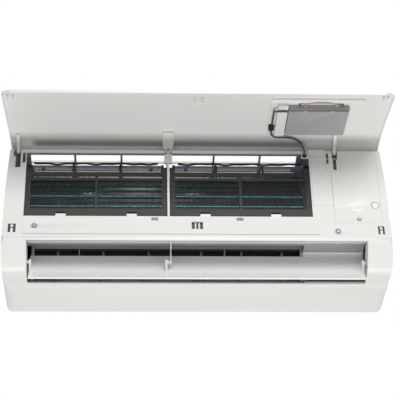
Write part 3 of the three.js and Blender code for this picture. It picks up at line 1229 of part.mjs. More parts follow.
// ---------------------------------------------------------------- wall plate
function wallPlate() {
  const plate = prismY(roundedRect(-PLATE_W / 2, PLATE_W / 2, PLATE_LOW, PLATE_TOP, 12, 12, 3), -PLATE_T, 0);
  const windows = [[-200, 70, 60, 90], [120, 70, 60, 90], [-200, 180, 60, 50], [120, 180, 60, 50]]
    .map(([x, z, w, h]) => box(x, x + w, -5, 5, z, z + h));
  const slots = [-240, -60, 60, 240].flatMap((x) => [90, 235].map((z) => rodY(3, 3, x, -5, 5, z, 8)));
  const hooks = HOOK_PLACES.map((x) => box(x - HOOK_W / 2, x + HOOK_W / 2, HOOK_Y, 0, HOOK_Z, HOOK_Z + HOOK_T)
    .add(box(x - HOOK_W / 2, x + HOOK_W / 2, HOOK_Y, HOOK_Y + PLATE_T, HOOK_Z, HOOK_Z + HOOK_RISE)));
  const drilled = [...windows, ...slots].reduce((rest, cut) => rest.subtract(cut), plate);
  return join([drilled, ...hooks]);
}

// ---------------------------------------------------------------- assembly
function build() {
  place('wall_plate', wallPlate(), STEEL());
  place('rear_casing', rearCasing(), SOFT_WHITE());
  place('front_frame', frontFrame(), WHITE());
  place('top_grille', topGrille(), WHITE());
  place('drain_pan', drainPan(), DUCT_GREY());

  const shell = coverShell();
  place('terminal_cover', shell.intersect(coverField(SEAM / 2).terminal), WHITE());
  place('control_cover', controlCover(shell), WHITE());
  place('electrical_box', electricalBox(), SOFT_WHITE());
  place('control_board', controlBoard(), plastic(0x2f5a3a, 0.6));
  place('terminal_block', terminalBlock(), plastic(0x2a2a2c, 0.5));
  place('manual_button', manualButton(), WHITE());

  for (const { name, outline } of slabs()) {
    place(name, finPack(outline), metal(0x39525a, 0.45));
    place(`${name}_end_left`, tubeSheet(outline, -1), metal(0xb87348, 0.35));
  }

  place('cross_flow_fan', crossFlowFan(), DARK_PLASTIC());
  place('motor_shaft', motorShaft(), STEEL());
  place('fan_motor', fanMotor(), STEEL());
  place('motor_bracket', motorBracket(), SOFT_WHITE());
  place('fan_bearing', fanBearing(), plastic(0x1d1d1f, 0.8));

  const edges = [OPEN_LEFT + SEAM, OPEN_MID - MULLION / 2 - SEAM, OPEN_MID + MULLION / 2 + SEAM,
    OPEN_RIGHT - SEAM];
  for (const [side, x0, x1] of [['left', edges[0], edges[1]], ['right', edges[2], edges[3]]]) {
    place(`filter_frame_${side}`, filterFrame(x0, x1), plastic(0x4a4846, 0.6));
    place(`filter_net_${side}`, filterNet(x0, x1), plastic(0x55535e, 0.8));
  }

  const panelSwing = new THREE.Group();
  panelSwing.position.set(0, PIVOT_Y, PIVOT_Z);
  panelSwing.rotation.x = -THREE.MathUtils.degToRad(PANEL_OPEN);
  unit.add(panelSwing);
  const onPanel = (name, manifold, material) =>
    place(name, manifold.translate([0, -PIVOT_Y, -PIVOT_Z]), material, panelSwing);
  onPanel('front_panel', frontPanel(), WHITE());
  onPanel('panel_centre_hinge', centreHinge(), SOFT_WHITE());
  onPanel('display_bracket', displayBracket(), WHITE());
  onPanel('display_case', displayCase(), plastic(0xb0b1b4, 0.5));

  onPanel('display_lead', displayLead(), plastic(0x2b2b2d, 0.6));
  onPanel('display_wire_dark', displayWire(WIRES.display_wire_dark), plastic(0x232325, 0.6));
  onPanel('display_wire_light', displayWire(WIRES.display_wire_light), plastic(0xb9a98a, 0.6));
  onPanel('lead_clip', leadClip(), plastic(0x3a3a3c, 0.6));
  place('hinge_lead', hingeLead(), plastic(0x2b2b2d, 0.6));
  place('lead_grommet', grommet(), plastic(0x38383a, 0.8));

  const flapSwing = new THREE.Group();
  flapSwing.position.set(0, FLAP_Y, FLAP_Z);
  flapSwing.rotation.x = THREE.MathUtils.degToRad(FLAP_OPEN_TURN);
  unit.add(flapSwing);
  place('air_flap', flapSolid().translate([0, -FLAP_Y, -FLAP_Z]), SOFT_WHITE(), flapSwing);
  place('flap_motor', flapMotor(), SOFT_WHITE());
  place('centre_support', centreSupport(), SOFT_WHITE());

  place('vane_frame', vaneFrame(), DUCT_GREY());
  const rest = THREE.MathUtils.degToRad(VANE_REST);
  vanePlaces().forEach((group, g) => {
    const span = group[1] - group[0];
    group.forEach((x, i) => {
      const mesh = place(`vane_${g * VANES_PER_GROUP + i + 1}`, vane(), DUCT_GREY());
      mesh.position.set(x, VANE_AXIS_Y, 0);
      mesh.rotation.z = -rest;
    });
    const bar = place(`vane_link_${g === 0 ? 'left' : 'right'}`, linkBar(span), SOFT_WHITE());
    bar.position.set(group[0] + LINK_OFFSET * Math.sin(rest), VANE_AXIS_Y + LINK_OFFSET * Math.cos(rest), 0);
  });

  for (const [name, [x, z]] of Object.entries(SCREW_PLACES)) {
    const seat = frontFace(z) + (name === 'screw_cover' ? -0.9 : 0.6 - GAP);
    place(name, screw(x, z, seat), STEEL());
  }
}

build();

export default unit;
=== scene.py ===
"""Looks of the indoor unit of a mini split air conditioner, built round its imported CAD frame.

Lengths in the functions are design millimetres: X along the unit, Y from the wall, Z from the underside.
metres() turns them into the row frame, whose zero height is 150 mm above the underside.
"""
import json
import math

import bmesh
import bpy
import numpy as np
from mathutils import Matrix, Vector


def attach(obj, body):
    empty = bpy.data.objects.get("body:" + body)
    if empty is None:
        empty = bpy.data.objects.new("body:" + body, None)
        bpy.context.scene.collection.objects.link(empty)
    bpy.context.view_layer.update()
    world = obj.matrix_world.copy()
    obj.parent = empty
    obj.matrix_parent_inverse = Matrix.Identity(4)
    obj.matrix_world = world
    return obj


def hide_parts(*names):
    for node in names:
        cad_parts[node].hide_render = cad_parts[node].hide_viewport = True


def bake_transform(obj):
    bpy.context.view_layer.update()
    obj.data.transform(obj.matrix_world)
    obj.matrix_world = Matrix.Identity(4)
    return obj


bl_info = {
    "name": "Mini split indoor unit",
    "version": (1, 0, 0),
    "blender": (4, 5, 0),
    "location": "3D View > Sidebar > Unit",
    "description": "Finishes the packed CAD model of a mini split indoor unit",
    "category": "Object",
}

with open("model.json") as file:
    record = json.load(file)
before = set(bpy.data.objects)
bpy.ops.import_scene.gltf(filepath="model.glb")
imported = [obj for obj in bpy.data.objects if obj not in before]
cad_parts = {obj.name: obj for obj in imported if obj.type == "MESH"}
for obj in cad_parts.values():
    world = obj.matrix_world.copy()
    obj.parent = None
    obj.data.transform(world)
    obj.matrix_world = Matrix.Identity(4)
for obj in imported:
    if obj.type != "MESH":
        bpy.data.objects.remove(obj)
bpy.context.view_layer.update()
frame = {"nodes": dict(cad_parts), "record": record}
SLOT_OF = {part["node"]: part["material_slot"] for part in frame["record"]["subparts"]}
BODY_OF = {n: body for body, members in frame["record"]["behaviour"]["bodies"].items() for n in members}

ZERO_HEIGHT = 150.0
# the panel's hinge line and the fan's axis, as Y and Z
PIVOT = (-153.0, 270.0)
FAN_AXIS = (-76.0, 122.0)
PANEL_OPEN = math.radians(82)
PANEL_WALL = 2.5
# X of the filter openings' ends and middle, of the air duct's ends, and of the filters' ends and tabs
OPEN_LEFT, OPEN_RIGHT, OPEN_MID = -323.0, 217.0, -53.0
AIR_LEFT, AIR_RIGHT = -319.0, 203.0
FILTERS = (("left", OPEN_LEFT + 3.5, OPEN_MID - 10), ("right", OPEN_MID + 10, OPEN_RIGHT - 3.5))
TABS = {"left": (-254.1, -121.9), "right": (15.9, 148.1)}
# latch sockets: middle X, width, middle Z, height, where their posts stand and half a post's width
LATCHES = ((-343, 14.5, 88.5, 20, (0,), 2.2), (0, 21, 95, 17, (-3.4, 3.4), 1.3),
           (342.5, 12, 86, 19, (0,), 2.2))
# the display's lead and wires while the panel is shut: X, Z and the distance off its inner face
LEAD_ON_PANEL = [(165.5, 128, 13.5), (158, 127, 13.6), (149, 128, 13.2), (143.5, 133, 11), (142, 142, 7),
                 (142, 156, 6.2), (142, 172, 6.2), (142, 188, 6.2), (142, 204, 6.2), (142, 218, 6.2),
                 (143.6, 231, 6.6), (153, 239.5, 6.4), (168, 242, 5), (180, 245, 4.2), (190, 249, 3.6),
                 (198, 256, 3.4), (204, 263, 3.4)]
WIRE_DARK = [(187, 119.4, 5), (187, 116, 5), (190, 110.5, 4.7), (200, 107.5, 4.6), (218, 106, 4.6),
             (238, 106.5, 4.6), (256, 109.5, 4.7), (266, 113, 4.9), (268, 117, 5), (268, 119.4, 5)]
WIRE_LIGHT = [(198, 119.4, 7.6), (198, 116, 7.6), (200, 109.5, 7.4), (210, 105, 7.3), (228, 103.4, 7.3),
              (244, 105, 7.3), (254, 109.5, 7.4), (257, 116, 7.6), (257, 119.4, 7.6)]
# the loop over the hinge, as X, Y and Z with the panel open
LEAD_OVER_HINGE = [(205.2, -158.4, 283), (206.5, -157.4, 280), (208, -157.4, 276), (209, -158.6, 271.5),
                   (209, -160.2, 267.5), (208.8, -160.6, 264.6), (209, -159.6, 262.4), (209, -158, 262)]
# the fitted camera: yaw, pitch and roll in degrees, place in metres, focal length in the photograph's pixels
CAMERA_TURN = (2.49, 30.36, -1.0)
CAMERA_PLACE = (-0.1068, -2.765, -1.5178)
CAMERA_FOCAL, PHOTO_WIDTH = 1603.3, 400
SENSOR = 36


def linear(hexed):
    """sRGB hex to the linear values that shaders take."""
    parts = [int(hexed[i:i + 2], 16) / 255 for i in (1, 3, 5)]
    return tuple(c / 12.92 if c <= 0.04045 else ((c + 0.055) / 1.055) ** 2.4 for c in parts)


# ------------------------------------------------------------------ settings
def colour(name, hexed, about):
    """A colour setting with an sRGB default."""
    return bpy.props.FloatVectorProperty(
        name=name, description=about, subtype="COLOR", size=3, min=0, max=1, default=linear(hexed))


def length(name, mm, about):
    """A length setting with a default in millimetres."""
    return bpy.props.FloatProperty(
        name=name, description=about, default=mm / 1000, min=0, unit="LENGTH", precision=5)


class UnitSizes(bpy.types.PropertyGroup):
    """Sizes of what this script makes."""
    fin_pitch: length("Fin pitch", 2.4, "Distance between fins, drawn wider than the real 1.4 mm to show")
    tube_pitch: length("Tube pitch", 23.4, "Distance between the coil's tubes in one row")
    thread_pitch: length("Thread pitch", 3.0, "Distance between net threads, drawn wider than the real 1 mm")
    thread: length("Thread", 0.45, "Thickness of a net thread")
    lead: length("Display lead radius", 1.8, "Radius of the display's sheathed lead")
    wire: length("Wire radius", 1.3, "Radius of each thin wire")
    edge: length("Edge round", 0.35, "Radius of moulded edges")
    blades: bpy.props.IntProperty(name="Fan blades", description="Blades round the fan", default=35, min=12)


class UnitColours(bpy.types.PropertyGroup):
    """Colours of the unit's materials."""
    case: colour("Case", "#F0EFED", "Outer white ABS")
    inner: colour("Inner white", "#E6E5E4", "White parts inside the case")
    duct: colour("Duct", "#D0CFD3", "Pale grey outlet roof")
    vane: colour("Vanes", "#A3A2A6", "Grey vanes and their frame")
    display: colour("Display", "#A7A7A9", "Back of the display case")
    filter: colour("Filter frame", "#262525", "Filter frame where it is clean")
    # painted shade: the grey the panel's inner roll takes along the hinge, over the inlet
    hinge_painted_shade: colour("Hinge dust", "#8F8D8A", "Dust on the panel's inner roll, over the inlet")
    # painted light: the lighter tone the filter frame takes towards its lower bars
    streaks_and_painted_light: colour("Dust", "#302D2B", "Dust on the filter frame's lower bars")
    net: colour("Net", "#1C272C", "Filter net thread")
    # painted light: the lilac the net thread takes high up under the grille, where it is lit from behind
    net_painted_light: colour("Faded net", "#8A8AA6", "Filter net thread under the grille")
    fin: colour("Fins", "#1F3A44", "Coated fins")
    tube: colour("Tubes", "#5C8F95", "Tubes between the fins")
    copper: colour("Copper", "#B8734A", "Bare copper bends")
    steel: colour("Steel", "#B7B9BB", "Zinc coated steel")
    dark: colour("Dark plastic", "#2B2B2D", "Fan and small dark parts")
    lead: colour("Lead sheath", "#565049", "Sheath of the display's lead")
    board: colour("Board", "#2F5A3A", "Circuit board lacquer")
    beige: colour("Light wire", "#C9BDA4", "Light wire sheath")


def unit_sizes():
    """The sizes set in this scene."""
    return bpy.context.scene.unit_sizes


def unit_colours():
    """The colours set in this scene."""
    return bpy.context.scene.unit_colours


# ------------------------------------------------------------------ points and curves
def metres(points):
    """Design millimetres to row-frame metres."""
    moved = np.asarray(points, float) / 1000
    moved[..., 2] -= ZERO_HEIGHT / 1000
    return moved


def opened(points):
    """Turns closed-panel design points about the hinge to the open position."""
    p = np.array(points, float)
    y, z = p[..., 1] - PIVOT[0], p[..., 2] - PIVOT[1]
    c, s = math.cos(-PANEL_OPEN), math.sin(-PANEL_OPEN)
    p[..., 1] = PIVOT[0] + y * c - z * s
    p[..., 2] = PIVOT[1] + y * s + z * c
    return p


def front_face(z):
    """The front face leans back by 25 mm times the 0.8th power of the height share above 72 mm."""
    return -180 + 25 * np.maximum((np.asarray(z, float) - 72) / 194, 0) ** 0.8


def panel_inner(z):
    """The panel's inner face when shut: its outer curve moved in by the wall, as Y at a height."""
    outer = spline([(-163, 282), (-174, 264), (-181, 238), (-186, 205), (-188.5, 165), (-188.5, 120),
                    (-187, 72)], 120)
    inner = outer - PANEL_WALL * across(outer)
    return np.interp(z, inner[::-1, 1], inner[::-1, 0])


def filter_path():
    """Up the front face, then back over the coils along one parabola to the rear of the inlet."""
    start = (float(front_face(120)) + 3, 120)
    bend = (float(front_face(222)) + 3, 222)
    lean = (bend[0] - start[0]) / (bend[1] - start[1])
    corner = (bend[0] + lean * 40, bend[1] + 40)
    end = (-62, 274)
    t = np.linspace(0, 1, 40)[:, None]
    curve = (1 - t) ** 2 * bend + 2 * t * (1 - t) * corner + t ** 2 * end
    return even(np.vstack([start, curve]), 60)


def coil_slabs():
    """The three stretches of the bent coil: where each starts and ends in the YZ plane."""
    line = [(float(front_face(z)) + 12.8, z) for z in (97, 180)] + [(-97, 258), (-24, 196)]
    names = ("coil_front_lower", "coil_front_upper", "coil_rear")
    return {name: np.array(line[i:i + 2]) for i, name in enumerate(names)}


def spline(points, count):
    """A smooth curve through the points: between each two runs a cubic, whose slope at a point is half the
    step from the point before it to the one after. It is sampled evenly by parameter."""
    p = np.asarray(points, float)
    padded = np.vstack([2 * p[0] - p[1], p, 2 * p[-1] - p[-2]])
    t = np.linspace(0, len(p) - 1, count)
    i = np.minimum(t.astype(int), len(p) - 2)
    f = (t - i)[:, None]
    a, b, c, d = padded[i], padded[i + 1], padded[i + 2], padded[i + 3]
    square, cube = 2 * a - 5 * b + 4 * c - d, 3 * b - a - 3 * c + d
    return 0.5 * (2 * b + (c - a) * f + square * f ** 2 + cube * f ** 3)


def even(path, count):
    """The same path with its points an even distance apart."""
    steps = np.linalg.norm(np.diff(path, axis=0), axis=1)
    walked = np.concatenate([[0], np.cumsum(steps)])
    at = np.linspace(0, walked[-1], count)
    return np.stack([np.interp(at, walked, path[:, k]) for k in range(path.shape[1])], axis=1)


def across(path):
    """Unit normals of a plane path, to the right of its run."""
    step = np.gradient(path, axis=0)
    step /= np.linalg.norm(step, axis=1)[:, None]
    return np.stack([step[:, 1], -step[:, 0]], -1)


def circle(count):
    """Angles of even steps round a circle."""
    return np.linspace(0, 2 * math.pi, count, endpoint=False)


def grid(shape, x, y, z):
    """Points whose X, Y and Z are each spread over one shape."""
    return np.stack([np.broadcast_to(axis, shape) for axis in (x, y, z)], -1)


def round_tube(path, radius, sides=16):
    """Rings of a tube round a path: centre + r (N cos a + B sin a), N and B square to the path."""
    tangent = np.gradient(path, axis=0)
    tangent /= np.linalg.norm(tangent, axis=1)[:, None]
    side = np.cross(tangent, [0.31, 0.87, 0.38])
    side /= np.linalg.norm(side, axis=1)[:, None]
    other = np.cross(tangent, side)
    angle = circle(sides)[None, :, None]
    return (path[:, None] + radius * (np.cos(angle) * side[:, None] + np.sin(angle) * other[:, None]))[None]


def swept_ring(x, y, z, radius, wide, deep, stations=32, sides=8):
    """A ring facing forward: an oval section with half axes wide and deep, swept round the point x, y, z."""
    around, section = circle(stations)[:, None], circle(sides)[None]
    r = radius + wide * np.cos(section)
    return grid((stations, sides), x + r * np.cos(around), y + deep * np.sin(section), z + r * np.sin(around))


def boxes(pairs):
    """Loops of many boxes between low and high corners, as four-sided tubes along X."""
    low, high = np.asarray(pairs, float).transpose(1, 0, 2)
    x = np.stack([low[:, 0], high[:, 0]], 1)[:, :, None]
    y = np.stack([low[:, 1], high[:, 1], high[:, 1], low[:, 1]], 1)[:, None]
    z = np.stack([low[:, 2], low[:, 2], high[:, 2], high[:, 2]], 1)[:, None]
    return grid((len(low), 2, 4), x, y, z)


def loops_mesh(loops):
    """Vertices and faces of many tubes: loops is [tubes, stations, sides, 3], closed round and capped."""
    tubes, stations, sides = loops.shape[:3]
    index = np.arange(tubes * stations * sides).reshape(tubes, stations, sides)
    near, far = index[:, :-1], index[:, 1:]
    walls = np.stack([near, np.roll(near, -1, 2), np.roll(far, -1, 2), far], axis=-1).reshape(-1, 4)
    first = index[:, 0, ::-1].reshape(tubes, sides)
    last = index[:, -1].reshape(tubes, sides)
    return loops.reshape(-1, 3), walls.tolist() + first.tolist() + last.tolist()


# ------------------------------------------------------------------ pieces from arrays and from the CAD
def placed(name, data):
    """A new object in the scene."""
    made = bpy.data.objects.new(name, data)
    bpy.context.scene.collection.objects.link(made)
    return made


def read(items, key):
    """One vector of each face or vertex, as rows of an array."""
    values = np.empty(len(items) * 3)
    items.foreach_get(key, values)
    return values.reshape(-1, 3)


def paint(piece, material, chosen):
    """Gives the chosen faces a second material."""
    piece.data.materials.append(material)
    piece.data.polygons.foreach_set("material_index", chosen.astype(np.int32))


def reworked(source, work, target=None):
    """Runs bmesh work on a mesh and writes the result to the target mesh, or back."""
    target = target or source
    shell = bmesh.new()
    shell.from_mesh(source)
    work(shell)
    shell.to_mesh(target)
    shell.free()
    target.update()


def outward(piece):
    """Makes a closed piece's faces point outwards."""
    reworked(piece.data, lambda shell: bmesh.ops.recalc_face_normals(shell, faces=shell.faces))
    return piece


def weld(shell):
    """Joins points that meet, drops faces with no area left and turns the faces outwards."""
    bmesh.ops.remove_doubles(shell, verts=shell.verts, dist=1e-6)
    bmesh.ops.dissolve_degenerate(shell, edges=shell.edges, dist=1e-7)
    bmesh.ops.recalc_face_normals(shell, faces=shell.faces)


def flatten(shell):
    """Joins points that meet and faces that lie in one plane."""
    bmesh.ops.remove_doubles(shell, verts=shell.verts, dist=1e-6)
    bmesh.ops.dissolve_limit(shell, angle_limit=math.radians(0.6), verts=shell.verts, edges=shell.edges)


def mesh_object(name, vertices, faces, body, slot, material, smooth=True, sharp=32):
    """One piece from row-frame vertices and faces, riding on a body; edges past the sharp angle stay sharp."""
    mesh = bpy.data.meshes.new(name)
    mesh.from_pydata(np.asarray(vertices, float).reshape(-1, 3).tolist(), [], faces)
    mesh.update()
    if smooth:
        mesh.shade_smooth()
        mesh.set_sharp_from_angle(angle=math.radians(sharp))
    piece = placed(name, mesh)
    mesh.materials.append(material)
    if body:
        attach(piece, body)
    return piece


def tubes_piece(name, loops, body, slot, material, smooth=True):
    """One piece of capped tubes."""
    return outward(mesh_object(name, *loops_mesh(loops), body, slot, material, smooth, 40))


def blocks(name, pairs, body, slot, material):
    """One piece of flat-sided blocks between pairs of design corners."""
    return tubes_piece(name, metres(boxes(pairs)), body, slot, material, False)


def rings_piece(name, rings, body, slot, material):
    """One piece of rings, [rings, stations, sides, 3], each closed along itself and round its section."""
    index = np.arange(rings[..., 0].size).reshape(rings.shape[:3])
    after = np.roll(index, -1, 1)
    faces = np.stack([index, np.roll(index, -1, 2), np.roll(after, -1, 2), after], -1).reshape(-1, 4)
    piece = mesh_object(name, rings, faces.tolist(), body, slot, material)
    reworked(piece.data, weld)
    return piece


def finished(node, edge=0.0):
    """A CAD node's own shape with smooth curved faces, joined flats and rounded edges."""
    mesh = bpy.data.meshes.new(f"{node}_finish")
    reworked(frame["nodes"][node].data, flatten, mesh)
    mesh.materials.clear()
    mesh.materials.append(FINISH[SLOT_OF[node]]())
    mesh.shade_smooth()
    mesh.set_sharp_from_angle(angle=math.radians(28))
    piece = placed(f"{node}_finish", mesh)
    if edge > 0:
        bevel = piece.modifiers.new("moulded edges", "BEVEL")
        bevel.width = edge
        bevel.segments = 2
        bevel.limit_method = "ANGLE"
        bevel.angle_limit = math.radians(35)
        bevel.use_clamp_overlap = True
    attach(piece, BODY_OF[node])
    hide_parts(node)
    return piece


# ------------------------------------------------------------------ materials
def add(tree, kind, inputs=None, **settings):
    """Adds a node. inputs maps its sockets to the sockets they are linked to, or to their values; settings are
    its properties, or values of sockets by name."""
    made = tree.nodes.new(kind)
    for key, value in settings.items():
        if hasattr(made, key):
            setattr(made, key, value)
        else:
            made.inputs[key.replace("_", " ")].default_value = value
    for key, value in (inputs or {}).items():
        if isinstance(value, bpy.types.NodeSocket):
            tree.links.new(value, made.inputs[key])
        else:
            made.inputs[key].default_value = value
    return made


def shades(tint, dark, light):
    """A darker and a lighter shade of one colour, none above white."""
    return (*[c * dark for c in tint], 1), (*[min(c * light, 1) for c in tint], 1)


def new_material(name):
    """A new material with its tree and shader; no tree if it is there already."""
    if name in bpy.data.materials:
        return bpy.data.materials[name], None, None
    material = bpy.data.materials.new(name)
    material.use_nodes = True
    tree = material.node_tree
    return material, tree, tree.nodes["Principled BSDF"]


def moulded(name, tint, roughness, grain, relief, mottle=0.03, ior=1.53):
    """Injection moulded plastic: a faint cloudy tone about 70 mm across, a spark-eroded grain, uneven gloss.
    grain and relief are the grain's width and height in millimetres, mottle is how far the tone strays."""
    material, tree, shader = new_material(name)
    if tree is None:
        return material
    place = add(tree, "ShaderNodeTexCoord").outputs["Object"]
    cloud = add(tree, "ShaderNodeTexNoise", {"Vector": place}, Scale=14.0, Detail=3.0).outputs[0]
    fine = add(tree, "ShaderNodeTexNoise", {"Vector": place}, Scale=1000 / grain, Detail=2.0).outputs[0]
    dark, light = shades(tint, 1 - mottle, 1 + mottle)
    tone = add(tree, "ShaderNodeMix", {0: cloud, 6: dark, 7: light}, data_type="RGBA")
    gloss = add(tree, "ShaderNodeMapRange", {"Value": cloud}, To_Min=roughness - 0.05, To_Max=roughness + 0.05)
    bump = add(tree, "ShaderNodeBump", {"Height": fine}, Strength=0.35, Distance=relief / 1000)
    tree.links.new(tone.outputs[2], shader.inputs["Base Color"])
    tree.links.new(gloss.outputs[0], shader.inputs["Roughness"])
    tree.links.new(bump.outputs[0], shader.inputs["Normal"])
    shader.inputs["IOR"].default_value = ior
    return material


def graded(name, tint, far, start, full, **feel):
    """Moulded plastic whose tone turns softly to the far one with height: it begins to turn at start and has
    turned at full, both in millimetres above the row frame's zero."""
    known = name in bpy.data.materials
    material = moulded(name, tint, **feel)
    if known:
        return material
    tree = material.node_tree
    base = tree.nodes["Principled BSDF"].inputs["Base Color"]
    place = add(tree, "ShaderNodeTexCoord").outputs["Object"]
    height = add(tree, "ShaderNodeSeparateXYZ", {"Vector": place}).outputs[2]
    share = add(tree, "ShaderNodeMapRange", {"Value": height}, interpolation_type="SMOOTHSTEP",
                From_Min=start / 1000, From_Max=full / 1000)
    tone = add(tree, "ShaderNodeMix", {0: share.outputs[0], 6: base.links[0].from_socket, 7: (*far, 1)},
               data_type="RGBA")
    tree.links.new(tone.outputs[2], base)
    return material


def metal(name, tint, roughness, mottle, spangle):
    """Bare or zinc coated metal: crystals of slightly different tone and gloss, spangle mm across."""
    material, tree, shader = new_material(name)
    if tree is None:
        return material
    place = add(tree, "ShaderNodeTexCoord").outputs["Object"]
    crystal = add(tree, "ShaderNodeTexVoronoi", {"Vector": place}, Scale=1000 / spangle)
    level = add(tree, "ShaderNodeSeparateColor", {"Color": crystal.outputs["Color"]}).outputs
    dark, light = shades(tint, 1 - mottle, 1 + mottle)
    tone = add(tree, "ShaderNodeMix", {0: level[0], 6: dark, 7: light}, data_type="RGBA")
    gloss = add(tree, "ShaderNodeMapRange", {"Value": level[1]}, To_Min=roughness - 0.08,
                To_Max=roughness + 0.08)
    tree.links.new(tone.outputs[2], shader.inputs["Base Color"])
    tree.links.new(gloss.outputs[0], shader.inputs["Roughness"])
    shader.inputs["Metallic"].default_value = 1
    return material


def case_white():
    # ABS moulded in a polished tool: bright, even white with a soft broad gloss; a 0.8 mm grain, hardly felt
    return moulded("moulded_gloss_abs", unit_colours().case, roughness=0.34, grain=0.8, relief=0.01,
                   mottle=0.012)


def painted_shade_white():
    """The case's white ABS with painted shade along the panel's hinge, above the inlet: a soft grey band with
    patches about 33 mm across. It starts 19 mm in front of the hinge line, is full 14 mm further back and
    fades out over the 6 mm round that line; at the inlet's ends it fades out over 22 mm."""
    material, tree, shader = new_material("moulded_gloss_abs_painted_shade")
    if tree is None:
        return material
    place = add(tree, "ShaderNodeTexCoord").outputs["Object"]
    x, y, _ = add(tree, "ShaderNodeSeparateXYZ", {"Vector": place}).outputs
    patch = add(tree, "ShaderNodeTexNoise", {"Vector": place}, Scale=30.0, Detail=3.0).outputs[0]
    shares = [add(tree, "ShaderNodeMapRange", {"Value": value}, interpolation_type="SMOOTHSTEP",
                  From_Min=none / 1000, From_Max=full / 1000).outputs[0]
              for value, none, full in (
                  (x, OPEN_LEFT + 1, OPEN_LEFT + 23), (x, OPEN_RIGHT + 5, OPEN_RIGHT - 17),
                  (y, PIVOT[0] + 4, PIVOT[0] - 2), (y, PIVOT[0] - 19, PIVOT[0] - 5))]
    shares.append(add(tree, "ShaderNodeMapRange", {"Value": patch}, To_Min=0.85, To_Max=1.0).outputs[0])
    amount = shares[0]
    for share in shares[1:]:
        amount = add(tree, "ShaderNodeMath", {0: amount, 1: share}, operation="MULTIPLY").outputs[0]
    # the grey tone mixed in here is painted shade
    plain, painted_shade_tone = (*unit_colours().case, 1), (*unit_colours().hinge_painted_shade, 1)
    tone = add(tree, "ShaderNodeMix", {0: amount, 6: plain, 7: painted_shade_tone}, data_type="RGBA")
    tree.links.new(tone.outputs[2], shader.inputs["Base Color"])
    shader.inputs["Roughness"].default_value = 0.36
    shader.inputs["IOR"].default_value = 1.53
    return material


def duct_painted_shade():
    # painted shade inside the duct: near black and matt, slightly mottled with a 1.2 mm grain
    return moulded("black_painted_shade_duct", linear("#141413"), roughness=0.85, grain=1.2, relief=0.05,
                   mottle=0.3, ior=1.45)


def vane_grey():
    # moulded polypropylene of the vanes: mid grey, darker than the outlet's roof, with a 1.2 mm grain
    return moulded("moulded_mid_grey_polypropylene", unit_colours().vane, roughness=0.45, grain=1.2,
                   relief=0.02, mottle=0.05, ior=1.49)


def inner_white():
    # moulded high-impact polystyrene: a little duller and greyer than the case, with a 1 mm grain
    return moulded("moulded_satin_polystyrene", unit_colours().inner, roughness=0.5, grain=1.0, relief=0.02)


def display_grey():
    # moulded grey ABS with a 0.7 mm spark-eroded grain that kills the gloss
    return moulded("moulded_grained_grey_abs", unit_colours().display, roughness=0.55, grain=0.7, relief=0.03,
                   mottle=0.05)


def channel_painted_shade():
    # the display case's grained ABS a tone darker: painted shade for its channel along the lower edge
    return moulded("grained_grey_abs_painted_shade", linear("#7C7C7E"), roughness=0.6, grain=0.7, relief=0.03,
                   mottle=0.05)


def duct_grey():
    # moulded grey polypropylene: waxy, with a weak blurred gloss and a 1.2 mm grain
    return moulded("moulded_grey_polypropylene", unit_colours().duct, roughness=0.5, grain=1.2, relief=0.02,
                   mottle=0.05, ior=1.49)


def fan_dark():
    # moulded glass filled styrene-acrylonitrile: near black, dull, slightly streaky, with a 0.9 mm grain
    return moulded("moulded_black_glass_filled_plastic", unit_colours().dark, roughness=0.6, grain=0.9,
                   relief=0.03, mottle=0.15)


def filter_dark():
    # moulded talc filled polypropylene: charcoal, broad gloss, 1 mm grain; it turns lighter towards the lower
    # bar, which is painted light
    return graded("moulded_charcoal_polypropylene_painted_light", unit_colours().filter, unit_colours().streaks_and_painted_light, 45, -25,
                  roughness=0.34, grain=1.0, relief=0.02, mottle=0.1, ior=1.49)


def shaded_slit():
    # painted shade of the narrow catch slits, which no light enters: black, dead matt, with a 0.8 mm grain
    return moulded("painted_shade_black_slit", linear("#0D0D0D"), roughness=0.9, grain=0.8, relief=0.02,
                   mottle=0.1, ior=1.3)


def net_thread():
    # woven from drawn polypropylene thread: dark and smooth, turning lilac high up under the grille, which is
    # painted light of the thread lit from behind
    return graded("woven_polypropylene_thread_painted_light", unit_colours().net, unit_colours().net_painted_light, 60, 100,
                  roughness=0.4, grain=0.5, relief=0.01, mottle=0.2, ior=1.49)


def black_plastic():
    # moulded nylon of clips and catches: black and satin, with a 0.8 mm grain
    return moulded("moulded_black_nylon", unit_colours().dark, roughness=0.45, grain=0.8, relief=0.02,
                   mottle=0.1)


def rubber():
    # moulded EPDM: matt black with a dusty bloom and a 0.6 mm grain
    return moulded("moulded_black_epdm", unit_colours().dark, roughness=0.8, grain=0.6, relief=0.03,
                   mottle=0.2, ior=1.5)


def stop_grey():
    # moulded rubber of the two stops under the panel: grey and matt, with a 0.8 mm grain
    return moulded("moulded_grey_rubber_stop", linear("#98989A"), roughness=0.7, grain=0.8, relief=0.03,
                   mottle=0.08, ior=1.5)


def lead_dark():
    # extruded PVC sheath: dark and satin, faintly mottled by the extruder every 1.5 mm
    return moulded("extruded_dark_pvc", unit_colours().lead, roughness=0.42, grain=1.5, relief=0.03,
                   mottle=0.12)


def lead_light():
    # extruded PVC sheath of the second wire: beige and a little duller than the dark one, same 1.5 mm mottle
    return moulded("extruded_beige_pvc", unit_colours().beige, roughness=0.45, grain=1.5, relief=0.03,
                   mottle=0.08)


def floor_paint():
    # rolled floor paint: pale and matt, with a 3 mm orange peel
    return moulded("painted_pale_floor", linear("#E9E9E9"), roughness=0.8, grain=3, relief=0.02, mottle=0.01,
                   ior=1.5)


def plated():
    # zinc plated and blue passivated steel of the screws: cool grey, with 3 mm crystals
    return metal("blue_passivated_zinc_plate", linear("#87919A"), roughness=0.4, mottle=0.08, spangle=3)


def steel():
    # hot-dip galvanised sheet: grey, with spangles about 6 mm across
    return metal("hot_dip_galvanised_steel", unit_colours().steel, roughness=0.42, mottle=0.1, spangle=6)


